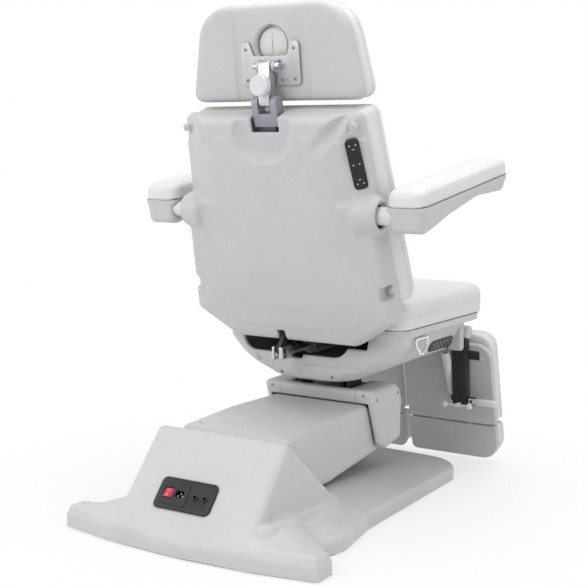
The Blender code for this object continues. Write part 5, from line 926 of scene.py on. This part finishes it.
def seat_field(x, y, z):
    # Height, half widths at the rear, waist and front, then the rear and front ends
    levels = np.array([(0.335, 0.120, 0.110, 0.105, -0.032, -0.270),
                       (0.355, 0.160, 0.150, 0.140, -0.026, -0.330),
                       (0.372, 0.200, 0.190, 0.175, -0.022, -0.400),
                       (0.386, 0.222, 0.224, 0.220, -0.021, -0.462),
                       (0.400, 0.242, 0.238, 0.234, -0.020, -0.476),
                       (0.440, 0.288, 0.254, 0.248, -0.026, -0.487),
                       (0.466, 0.294, 0.268, 0.262, -0.034, -0.492),
                       (0.474, 0.297, 0.297, 0.297, -0.032, -0.523),
                       (0.492, 0.297, 0.297, 0.297, -0.032, -0.525)])
    fine = np.linspace(0.325, 0.5, 351)
    rows = [np.interp(fine, levels[:, 0], levels[:, k]) for k in range(1, 6)]
    kernel = np.hanning(15)
    kernel /= kernel.sum()
    rows = [np.convolve(np.pad(row, 7, mode="edge"), kernel, mode="valid") for row in rows]
    at_rear, at_waist, at_front, rear, front = (np.interp(z, fine, row) for row in rows)
    lean = np.abs(np.gradient(rows[1], fine))
    ease = 1 / np.sqrt(1 + np.interp(z, fine, lean) ** 2)
    rearward = np.clip((y + 0.250) / (rear + 0.250), 0, 1)
    forward = np.clip((-0.250 - y) / (-0.250 - front), 0, 1)
    half = at_waist + (at_rear - at_waist) * step_up(rearward, -0.2, 1.05) + (at_front - at_waist) * forward
    side = np.abs(x) - half
    body = smooth_max(smooth_max(side, y - rear, 0.085), front - y, 0.055) * ease
    band = union(*[box_field(half_x, 0.011, 0.003, x - mid_x, z - mid_z) for half_x, mid_x, mid_z in
                   ((0.024, -0.140, 0.391), (0.021, 0.140, 0.391), (0.052, -0.052, 0.389))])
    body = body + 0.0026 * step_up(-band, -0.0005, 0.0015) * step_up(y, -0.07, -0.055)
    body = smooth_max(body, 0.335 - z, 0.012)
    apron = smooth_max(box_field(0.0228, 0.0122, 0.007, np.abs(x) - 0.223, y + 0.50025), 0.3735 - z, 0.008)
    return smooth_min(body, np.maximum(apron, z - 0.478), 0.008)


def seat_openings(x, y, z):
    window = box_field(0.172, 0.2, 0.045, x - 0.040, z - 0.608)
    ledge = np.maximum(np.abs(x) - 0.190, 0.4365 - z)
    notch = np.maximum(np.abs(x - 0.035) - 0.0235, 0.397 - z)
    window = overlap(union(window, ledge, notch), -0.075 - y, z - 0.5)
    hatch = overlap(np.abs(x) - 0.098, -0.25 - y, y + 0.10, z - 0.365)
    slots = overlap(np.abs(np.abs(x) - 0.1215) - 0.0125, np.abs(z - 0.434) - 0.044, y + 0.387)
    return union(window, hatch, slots)


def seat_covers():
    whole = shell(seat_field, (-0.32, -0.545, 0.322), (0.32, 0.0, 0.51), 0.0035, seat_openings,
                  [((0, 0, SEAT_TOP), (0, 0, 1))], lip=0.008)
    plate = copy_of(whole)

    def keep_plate(bm):
        for side in (1, -1):
            slice_mesh(bm, (side * (PLATE_HALF - SEAM / 3), 0, 0), (side, 0, 0))
        slice_mesh(bm, (0, 0, PLATE_TOP - SEAM / 3), (0, 0, 1))
        slice_mesh(bm, (0, PLATE_FRONT + SEAM / 3, 0), (0, -1, 0))

    def drop_plate(bm):
        for side in (1, -1):
            slice_mesh(bm, (side * (PLATE_HALF + SEAM / 3), 0, 0), (1, 0, 0), clear=False)
        slice_mesh(bm, (0, 0, PLATE_TOP + SEAM / 3), (0, 0, 1), clear=False)
        slice_mesh(bm, (0, PLATE_FRONT - SEAM / 3, 0), (0, 1, 0), clear=False)
        gone = []
        for face in bm.faces:
            x, y, z = face.calc_center_median()
            inside = abs(x) < PLATE_HALF + SEAM / 3 and z < PLATE_TOP + SEAM / 3
            if inside and y > PLATE_FRONT - SEAM / 3:
                gone.append(face)
        bmesh.ops.delete(bm, geom=gone, context="FACES")

    edit(plate, keep_plate)
    edit(whole, drop_plate)
    dress(thick(whole, WALL), "seat_moulding", "seat", GREY, "seat_shell", sharp=50)
    dress(thick(plate, WALL), "seat_plate", "seat", GREY, "seat_rear_cover", sharp=50)
    places = [((side * 0.082, -0.0255, 0.353), (0, 1, -0.2)) for side in (1, -1)]
    screws("seat_screws", "seat", places, 0.0045)


def seat_cushion():
    outline = rounded(both_halves([(0.3, -0.032, 0.05), (0.3, -0.536, 0.036)]))

    def place(x, y, height):
        share = min(max((-0.032 - y) / 0.504, 0), 1)
        return x, y, SEAT_TOP + SOFT_GAP + height * (1 + 0.022 / 0.066 * math.sin(share * math.pi * 0.62))

    shape = cushion(outline, 0.066, 0.004, place, 0.022, 0.002)
    puff(shape, lambda co: co.z - SEAT_TOP - SOFT_GAP, 0.007)
    soft(shape, "seat_padding", "seat", "seat_cushion")
    deck = rounded(both_halves([(0.294, -0.062, 0.01), (0.294, -0.522, 0.03)]))
    dress(prism(deck, "Z", 0.4893, 0.4919), "seat_deck", "seat", GREY)
    ring = [place(x, y, 0.036) for x, y in outline]
    sew("seat", shape, ring, "seat", Vector((0, 0, -0.006)))


def soft(shape, name, body, node):
    dress(shape, name, body, HIDE, node, sharp=0)
    finer = shape.modifiers.new("finer", "SUBSURF")
    finer.levels = 1
    finer.render_levels = 1


def seat_side_frame():
    """Frame on the seat's right side at the keypad: x out of the side, y and z along it."""
    share = 0.024 / 0.040
    waist = mix(0.254, 0.238, share)
    front = mix(0.248, 0.234, share)
    along = (0.355 - 0.250) / (mix(0.487, 0.476, share) - 0.250)
    half = mix(waist, front, along)
    lean = math.atan2(mix(0.016, 0.014, along), 0.040)
    return Matrix.Translation((-half, -0.355, 0.416)) @ Matrix.Rotation(-lean, 4, "Y")


def keypad_marks(plane, length, width, axis, count, name, body):
    """Generic dots and bars in the keypad's own plane. axis picks the long direction."""
    lift = 0.0058
    marks = []
    for index in range(count):
        along = mix(-length * 0.38, length * 0.38, index / (count - 1))
        for across in (-0.22, 0.22):
            a, b = (along, across * width) if axis else (across * width, along)
            profile = [(0.0018, 0), (0.0018, 0.0007), (0.0010, 0.0010)]
            marks.append(lathe(profile, Matrix.Translation((a, b, lift)), 16))
    for index in range(count - 1):
        along = mix(-length * 0.30, length * 0.30, index / (count - 2))
        a, b = (along, 0.0) if axis else (0.0, along)
        half = (0.0007, width * 0.10) if axis else (width * 0.10, 0.0007)
        marks.append(prism(rectangle(*half, 0.0003, (a, b)), "Z", lift, lift + 0.0006))
    fitted(marks, plane, name, body, MARK)


def seat_fittings():
    refined("seat_keypad", BLACK, 0.0012)
    plane = seat_side_frame() @ turn(-90, "Y") @ turn(90, "Z")
    keypad_marks(plane, 0.142, 0.034, True, 6, "seat_key_marks", "seat")
    path = rounded(both_halves([(0.035, 0, 0.004), (0.029, -0.020, 0.020), (0.010, -0.042, 0.009)]), 6)
    line = [(-0.29332, -0.145 + a, 0.463 + b) for a, b in path]
    ring = tube("hanger_wire", [line], 0.0036, "ring", CHROME)
    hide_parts("hanger_ring")
    saddles = []
    for y in (-0.170, -0.120):
        saddle = prism(rectangle(0.010, 0.010, 0.003, (y, 0.4640)), "X", -0.2880, -0.262)
        saddles.append(soften(saddle, 0.0015))
    dress(joined(saddles), "hanger_seats", "seat", GREY)


# Back

def back_side(s):
    return mix(0.274, 0.319, (0.602 - s) / 0.550)


def back_outline(bottom=None):
    corners = [(0.274, 0.602, 0.022)]
    if bottom is None:
        corners += [(0.319, 0.052, 0.030), (0.190, -0.030, 0.050)]
    else:
        corners.append((back_side(bottom), bottom, 0.030))
    return rounded(both_halves(corners))


def back_field(x, t, s):
    inset = -outline_field(back_outline(), x, s)
    deep = np.maximum(inset, 0)
    side = np.abs(x)
    full = 0.064 * (1 - np.exp(-deep / 0.0055)) + 0.012 * (1 - np.exp(-deep / 0.090))
    pared = np.interp(deep, [0, 0.002, 0.006, 0.014, 0.030, 0.062, 0.100, 0.180],
                      [0, 0.012, 0.022, 0.028, 0.038, 0.057, 0.070, 0.0745])
    share = step_up(s, 0.365, 0.383) * step_up(side + deep, 0.215, 0.245)
    rise = mix(full, pared, share) + 6.0 * np.minimum(inset, 0)
    steep = mix(11.6 * np.exp(-deep / 0.0055) + 0.13, 6.0 * np.exp(-deep / 0.004) + 0.6, share)
    slope = np.where(inset > 0, steep, 6.0)
    rise = rise - 0.0020 * (1 - step_up(deep, 0.046, 0.060)) * (1 - share)
    rise = rise - 0.0015 * (1 - step_up(deep, 0.100, 0.118))
    rise = rise - 0.0060 * step_up(side, 0.174, 0.192) * step_up(s, 0.529, 0.534)
    field = (t - BACK_FACE - rise) / np.sqrt(1 + slope ** 2)
    scoop = box_field(0.099, 0.2, 0.089, x, s - 0.680)
    scoop = smooth_max((scoop + (0.046 - t) * 0.70) * 0.82, 0.016 - t, 0.006)
    field = smooth_max(field, -scoop, 0.004)
    boss = np.hypot(t, s - 0.3375) - mix(0.056, 0.043, np.clip((side - 0.247) / 0.058, -1, 1.1))
    boss = smooth_max(smooth_max(boss * 0.96, side - 0.305, 0.008), 0.235 - side, 0.02)
    field = smooth_min(field, boss, 0.010)
    upper = smooth_max(np.maximum(0.238 - side, -0.004 - t), np.abs(s - 0.568) - 0.018, 0.010)
    lower = smooth_max(np.maximum(0.284 - side, -0.014 - t), np.abs(s - 0.135) - 0.019, 0.014)
    field = smooth_max(field, -upper, 0.005)
    field = smooth_max(field, -lower, 0.005)
    peg = np.maximum(box_field(0.0095, 0.0095, 0.004, side - 0.2585, s - 0.568), np.abs(t - 0.002) - 0.006)
    stud = np.maximum(np.hypot(side - 0.2995, s - 0.135) - 0.0085, np.abs(t + 0.010) - 0.006)
    return smooth_min(field, np.minimum(peg, stud), 0.004)


def back_openings(x, t, s):
    side = np.abs(x)
    fork = np.maximum(side - 0.0425, 0.556 - s)
    bore = np.maximum(np.hypot(t, s - 0.3375) - 0.0318, 0.200 - side)
    foot = overlap(side - 0.178, t - 0.024, s - 0.030)
    crank = np.maximum(np.abs(x - 0.035) - 0.012, s - 0.012)
    return union(fork, bore, foot, crank)


def back_shell():
    shape = shell(back_field, (-0.34, -0.05, -0.050), (0.34, 0.065, 0.620), 0.003, back_openings,
                  [((0, BACK_FACE, 0), (0, -1, 0))], lip=0.008)
    thick(shape, WALL)
    shape.data.transform(BACK)
    dress(shape, "back_moulding", "back", GREY, "back_shell", sharp=50)
    out = BACK.to_3x3() @ Vector((0, 1, 0))
    places = []
    for a, t, s in ((0.2585, 0.0079, 0.568), (0.2995, -0.0041, 0.135)):
        places += [(BACK @ Vector((side * a, t, s)), out) for side in (1, -1)]
    screws("back_screws", "back", places, 0.0050, GREY)
    refined("back_keypad", BLACK, 0.0012)
    centre = BACK @ Matrix.Translation((-0.2545, 0.0065, 0.473))
    plane = centre @ turn(30, "Z") @ turn(5.5, "Y") @ turn(-90, "X")
    keypad_marks(plane, 0.130, 0.036, False, 3, "back_key_marks", "back")


def back_cushion():
    outline = back_outline(0.074)

    def place(x, s, height):
        return BACK @ Vector((x, BACK_FACE - SOFT_GAP - height, s))

    shape = cushion(outline, 0.106, 0.016, place, 0.026, 0.006)
    back = BACK.inverted()
    puff(shape, lambda co: BACK_FACE - SOFT_GAP - (back @ co).y, 0.007)
    soft(shape, "back_padding", "back", "back_cushion")
    toward = (BACK.to_3x3() @ Vector((0, 1, 0))) * 0.006
    sew("back", shape, [place(x, s, 0.064) for x, s in outline], "back", toward)


# Headrest

def head_outline():
    return rounded(both_halves([(0.220, 0.155, 0.098), (0.269, -0.094, 0.026)]))


def head_field(x, t, s):
    inset = -outline_field(head_outline(), x, s)
    deep = np.maximum(inset, 0)
    rise = 0.0245 * (1 - np.exp(-deep / 0.0042)) + 0.0015 * (1 - np.exp(-deep / 0.04))
    rise = rise + 5.8 * np.minimum(inset, 0)
    slope = np.where(inset > 0, 5.8 * np.exp(-deep / 0.0042), 5.8)
    rise = rise - 0.0034 * (1 - step_up(np.abs(x), 0.109, 0.116))
    return (t - HEAD_FACE - rise) / np.sqrt(1 + slope ** 2)


def head_opening(x, t, s):
    return np.hypot(x, s - FACE_HOLE) - 0.0512


def headrest_cover():
    shape = shell(head_field, (-0.29, -0.062, -0.115), (0.29, -0.012, 0.175), 0.003, head_opening,
                  [((0, HEAD_FACE, 0), (0, -1, 0))], lip=0.009)
    thick(shape, WALL)
    shape.data.transform(HEAD)
    dress(shape, "headrest_moulding", "headrest", GREY, "headrest_shell", sharp=50)


def headrest_padding():
    def place(x, s, height):
        return HEAD @ Vector((x, HEAD_FACE - SOFT_GAP - height, s))

    pad = cushion(head_outline(), HEAD_PAD, 0.012, place, 0.030, 0.006)
    back = HEAD.inverted()
    puff(pad, lambda co: HEAD_FACE - SOFT_GAP - (back @ co).y, 0.006)
    hole = rod(HEAD @ Vector((0, -0.3, FACE_HOLE)), HEAD @ Vector((0, 0.3, FACE_HOLE)), 0.0510, 48)
    cut(pad, hole)
    soft(pad, "headrest_padding", "headrest", "headrest_cushion")
    toward = (HEAD.to_3x3() @ Vector((0, 1, 0))) * 0.006
    sew("headrest", pad, [place(x, s, 0.040) for x, s in head_outline()], "headrest", toward)


def face_opening():
    """Plug in the face opening, the opening's lining and the plug's stitches."""
    turned = HEAD @ Matrix.Translation((0, 0, FACE_HOLE)) @ turn(-90, "X")
    face = HEAD_FACE - HEAD_PAD - 0.0096
    plug = lathe([(0.004, face - 0.004), (0.017, face - 0.0036), (0.032, face - 0.002), (0.044, face + 0.002),
                  (0.0490, face + 0.008), (0.0498, face + 0.017), (0.0498, -0.060), (0.0490, -0.0480),
                  (0.0462, -0.0410), (0.0410, -0.0375), (0.030, -0.0352), (0.016, -0.0342), (0.004, -0.0340)],
                 turned, 48)
    soft(plug, "headrest_filler", "headrest", "headrest_plug")
    lining = lathe([(0.0508, -0.066), (0.0508, -0.0240), (0.0502, -0.0236), (0.0500, -0.066)], turned, 48)
    edit(lining, open_ends)
    dress(lining, "headrest_lining", "headrest", HIDE)
    paths = []
    for step in range(14):
        low = mix(0.028, 0.084, step / 14)
        ends = []
        for s in (low, low + 0.0032):
            away = max(0.0, abs(s - FACE_HOLE) - 0.012)
            ends.append(HEAD @ Vector((0.0006 * math.sin(s * 300), -0.0338 - away * 0.12, s)))
        paths.append(ends)
    tube("filler_stitches", paths, 0.0006, "headrest", DARK_THREAD, closed=False)


def headrest_fittings():
    refined("headrest_plate", PLATE, 0.0012)
    refined("headrest_link", ZINC, 0.0012)
    refined("headrest_fork", CAST, 0.0022, 3)
    up = HEAD.to_3x3() @ Vector((0, 1, 0))
    spots = [(side * 0.074, s) for side in (1, -1) for s in (0.042, -0.036)]
    spots += [(side * a, s) for a, s in ((0.030, 0.011), (0.036, -0.036)) for side in (1, -1)]
    screws("plate_screws", "headrest", [(HEAD @ Vector((x, -0.0171, s)), up) for x, s in spots], 0.0046)
    turned = Matrix.Translation((0, 0.18178, 1.13137)) @ turn(-90, "X")
    knob = lathe([(0.010, 0.0), (0.0225, 0.0), (0.0250, 0.0012), (0.0272, 0.004), (0.0275, 0.006),
                  (0.0275, 0.010), (0.0275, 0.015), (0.0275, 0.019), (0.0268, 0.0222), (0.0252, 0.0240),
                  (0.0235, 0.0245), (0.0228, 0.0238), (0.010, 0.0238), (0.002, 0.0238)],
                 turned, 120, 30, 0.0006)
    dress(knob, "headrest_grip", "head_knob", IVORY, "headrest_knob")


# Armrests

ARMREST_RISE = math.radians(8.5)
ARMREST_REAR = 0.138
ARMREST_FRONT = -0.388
ARMREST_SEAM = 0.828


def seam_z(y):
    return ARMREST_SEAM + (ARMREST_REAR - y) * math.tan(ARMREST_RISE)


def armrest_plan(inset=0.0):
    outer = 0.439 - inset
    inner = 0.327 + inset
    front = ARMREST_FRONT + inset
    rear = ARMREST_REAR - inset
    return rounded([(outer, rear, 0.030 - inset), (outer, front, 0.050 - inset),
                    (inner, front, 0.050 - inset), (inner, rear, 0.030 - inset)])


def armrest_field(x, y, z):
    belly = [(ARMREST_REAR, 0.060, 0.010), (0.098, 0.070, 0.03), (0.048, 0.063, 0.06), (-0.022, 0.048, 0.08),
             (-0.192, 0.029, 0.20), (-0.347, 0.044, 0.05), (ARMREST_FRONT, 0.026, 0.012)]
    belly = [(ARMREST_REAR, -0.03, 0)] + belly + [(ARMREST_FRONT, -0.03, 0)]
    profile = rounded([(along, seam_z(along) - drop, radius) for along, drop, radius in belly])
    under = seam_z(y) - z
    draw = np.interp(under, [0.0, 0.0115, 0.0125, 0.080], [0.0, 0.0, 0.0034, 0.0135])
    return smooth_max(outline_field(profile, y, z), outline_field(armrest_plan(), x, y) + draw, 0.014)


def armrest_bore(x, y, z):
    return np.maximum(np.hypot(y - 0.10235, z - 0.806) - 0.0234, x - 0.352)


def armrests():
    normal = Vector((0, math.sin(ARMREST_RISE), math.cos(ARMREST_RISE)))
    body = shell(armrest_field, (0.314, -0.405, 0.755), (0.452, 0.155, 0.935), 0.003, armrest_bore,
                 [((0, ARMREST_REAR, ARMREST_SEAM), normal)])
    thick(body, WALL)
    deck = skin([[(x, y, seam_z(y) - drop) for x, y in armrest_plan(0.0025)] for drop in (0.003, 0.0002)])

    def place(x, y, height):
        return x, y, seam_z(y) + SOFT_GAP + height

    plan = armrest_plan()
    pad = cushion(plan, 0.044, 0.005, place, 0.016, 0.002)
    puff(pad, lambda co: co.z - seam_z(co.y) - SOFT_GAP, 0.005, 3.0)
    for side, label in SIDES:
        arm = "armrest_" + label
        shape = sided(joined([copy_of(body), copy_of(deck)]), side)
        dress(shape, "armrest_moulding_" + label, arm, GREY, "armrest_shell_" + label, sharp=50)
        cover = twin(pad, side)
        soft(cover, "armrest_padding_" + label, arm, "armrest_pad_" + label)
        ring = [(side * x, y, seam_z(y) + 0.006) for x, y in plan]
        sew(arm, cover, ring, arm, Vector((0, 0, -0.005)))
        refined("armrest_shaft_" + label, IVORY, 0.0015)
    for shape in (body, deck, pad):
        bpy.data.objects.remove(shape)


# Leg rests

LEAN_AXIS = Vector((0, -0.610, 0.130))
HUNG = Matrix.Translation(LEAN_AXIS) @ turn(-12.5, "X") @ Matrix.Translation(-LEAN_AXIS)
LEG_REAR = -0.610
GUIDE_Y = -0.621
GUIDE_X = (0.100, 0.220)
LEG_BOARD = (0.133, 0.418, (0.015, 0.045, 0.010, 0.010))
FOOT_BOARD = (0.018, 0.127, (0.010, 0.010, 0.075, 0.018))


def board(low_z, high_z, corners):
    inner_top, outer_top, outer_low, inner_low = corners
    return rounded([(0.012, high_z, inner_top), (0.308, high_z, outer_top), (0.308, low_z, outer_low),
                    (0.012, low_z, inner_low)])


def leg_panel(low, high, corners):
    return soften(prism(board(low, high, corners), "Y", LEG_FACE, LEG_REAR), 0.0045, 4, 50)


def leg_padding(low, high, corners):
    def place(x, z, height):
        return x, LEG_FACE - SOFT_GAP - height, z

    pad = cushion(board(low, high, corners), 0.058, 0.010, place, 0.024, 0.006)
    return puff(pad, lambda co: LEG_FACE - SOFT_GAP - co.y, 0.006)


def leg_rests():
    panel = leg_panel(0.132, 0.390, LEG_BOARD[2])
    cut(panel, *[rod((x, GUIDE_Y, 0), (x, GUIDE_Y, 0.365), 0.0070, 24) for x in GUIDE_X])
    foot = leg_panel(0.018, 0.128, FOOT_BOARD[2])
    rods = joined([rod((x, GUIDE_Y, 0.112), (x, GUIDE_Y, 0.330), 0.0065, 24) for x in GUIDE_X])
    pads = [leg_padding(*LEG_BOARD), leg_padding(*FOOT_BOARD)]
    for shape in (panel, foot, rods, *pads):
        shape.data.transform(HUNG)
    rearward = HUNG.to_3x3() @ Vector((0, 1, 0))
    axle = Matrix.Translation((0, -0.535, 0.425)) @ turn(90, "Y")
    hub = lathe([(0.0045, 0.2518), (0.0160, 0.2518), (0.0188, 0.2506), (0.0197, 0.2484), (0.0197, 0.1915),
                 (0.0186, 0.1905), (0.0110, 0.1905)], axle, 40)
    caps = {"leg": ((0.045, 0.156), (0.045, 0.345), (0.275, 0.345)), "foot": ((0.046, 0.075), (0.270, 0.070))}
    boards = {"leg": (panel, pads[0], LEG_BOARD), "foot": (foot, pads[1], FOOT_BOARD)}
    for side, label in SIDES:
        for kind, (plate, pad, size) in boards.items():
            body = kind + "_" + label
            # The boards take the darker copy of the grey cover, which is painted shade from beneath the seat.
            dress(twin(plate, side), kind + "_board_" + label, body, SHADED_PANEL, kind + "_panel_" + label)
            cover = twin(pad, side)
            soft(cover, kind + "_padding_" + label, body, kind + "_cushion_" + label)
            ring = [HUNG @ Vector((side * x, LEG_FACE - 0.0303, z)) for x, z in board(*size)]
            sew(body, cover, ring, body, rearward * 0.005)
            places = [(HUNG @ Vector((side * x, LEG_REAR + 0.0002, z)), rearward) for x, z in caps[kind]]
            screws(kind + "_caps_" + label, body, places, 0.0065, GREY)
        dress(twin(rods, side), "foot_guides_" + label, "foot_" + label, ZINC)
        dress(twin(hub, side), "leg_hub_cover_" + label, "leg_" + label, GREY)
        refined("leg_bar_" + label, STEEL, 0.0018)
        refined("gas_strut_" + label, IVORY, 0.0016, 3)
        refined("strut_rod_" + label, ZINC, 0.0008)
        refined("release_lever_" + label, IVORY, 0.0022, 3)
        refined("clamp_handle_" + label, IVORY, 0.0006)
    for shape in (panel, foot, rods, hub, *pads):
        bpy.data.objects.remove(shape)


def inner_works():
    """CAD shapes that stay as they are, with finished materials."""
    frames = ("base_frame", "arm_frame", "carriage_bracket", "seat_frame", "back_frame")
    rods = ("rear_axle", "level_link", "lift_rod", "tilt_rod", "back_rod")
    drives = ("lift_actuator", "tilt_actuator", "back_actuator")
    for nodes, material in ((frames, STEEL), (rods, ZINC), (drives, MOTOR)):
        for node in nodes:
            mesh = NODES[node].data
            mesh.materials.clear()
            mesh.materials.append(material)


# Stage

def camera():
    yaw = math.radians(33.206)
    pitch = math.atan((293 - 137.8) / 1249.455)
    forward = Vector((math.sin(yaw) * math.cos(pitch), -math.cos(yaw) * math.cos(pitch), -math.sin(pitch)))
    data = bpy.data.cameras.new("camera")
    data.lens = 76.757
    data.sensor_width = 36
    lens = bpy.data.objects.new("camera", data)
    lens.location = (-1.826, 2.832, 1.000)
    lens.rotation_euler = forward.to_track_quat("-Z", "Y").to_euler()
    SCENE.collection.objects.link(lens)
    SCENE.camera = lens


def lamp(name, place, target, size, power):
    data = bpy.data.lights.new(name, "AREA")
    data.shape = "RECTANGLE"
    data.size, data.size_y = size
    data.energy = power
    light = bpy.data.objects.new(name, data)
    light.location = place
    light.rotation_euler = (Vector(target) - Vector(place)).to_track_quat("-Z", "Y").to_euler()
    SCENE.collection.objects.link(light)


def stage():
    floor = shape_of([(-9, -9, -0.0005), (9, -9, -0.0005), (9, 9, -0.0005), (-9, 9, -0.0005)], [(0, 1, 2, 3)])
    floor.name = "floor"
    look = Look("pale_floor")
    pale = look.blend(look.noise(3.0, 3), (0.86, 0.86, 0.86), (0.89, 0.89, 0.89))
    look.set(Base_Color=pale, Roughness=0.85, Specular_IOR_Level=0.1)
    away = look.add("VectorMath", {0: look.place}, operation="LENGTH").outputs["Value"]
    fade = look.remap(away, 0.62, 1.0, 0.55, 1.15)
    seen = look.add("Math", {0: fade, 1: look.direct_rays()}, operation="MULTIPLY").outputs[0]
    glow = look.add("Emission", {"Color": (1, 1, 1, 1), "Strength": 1.0}).outputs[0]
    blend = look.add("MixShader", {0: seen, 1: look.shader.outputs[0], 2: glow})
    look.feed(look.tree.nodes["Material Output"].inputs["Surface"], blend.outputs[0])
    floor.data.materials.append(look.material)
    world = bpy.data.worlds.new("studio")
    world.use_nodes = True
    SCENE.world = world
    sky = Graph(world.node_tree)
    sky.tree.nodes.clear()
    light = sky.add("Background", {"Color": (0.97, 0.98, 1.0, 1), "Strength": 0.54}).outputs[0]
    white = sky.add("Background", {"Color": (1, 1, 1, 1), "Strength": 1.0}).outputs[0]
    blend = sky.add("MixShader", {0: sky.direct_rays(), 1: light, 2: white}).outputs[0]
    sky.add("OutputWorld", {"Surface": blend})
    lamp("key", (0.9, 3.6, 2.6), (0, 0, 0.5), (2.4, 2.4), 46)
    lamp("top", (-0.3, -0.2, 3.6), (0, 0, 0.4), (3.0, 3.0), 65)
    lamp("left", (3.0, 1.6, 1.6), (0, 0.1, 0.6), (1.8, 2.2), 14)
    lamp("right", (-3.4, 0.6, 2.2), (0, -0.1, 0.6), (2.2, 2.2), 21)
    SCENE.view_settings.view_transform = "Standard"
    SCENE.view_settings.look = "None"


camera()
stage()
inner_works()
base_covers()
inlet_fittings()
arm_cover()
carriage_covers()
seat_covers()
seat_cushion()
seat_fittings()
back_shell()
back_cushion()
headrest_cover()
headrest_padding()
face_opening()
headrest_fittings()
armrests()
leg_rests()
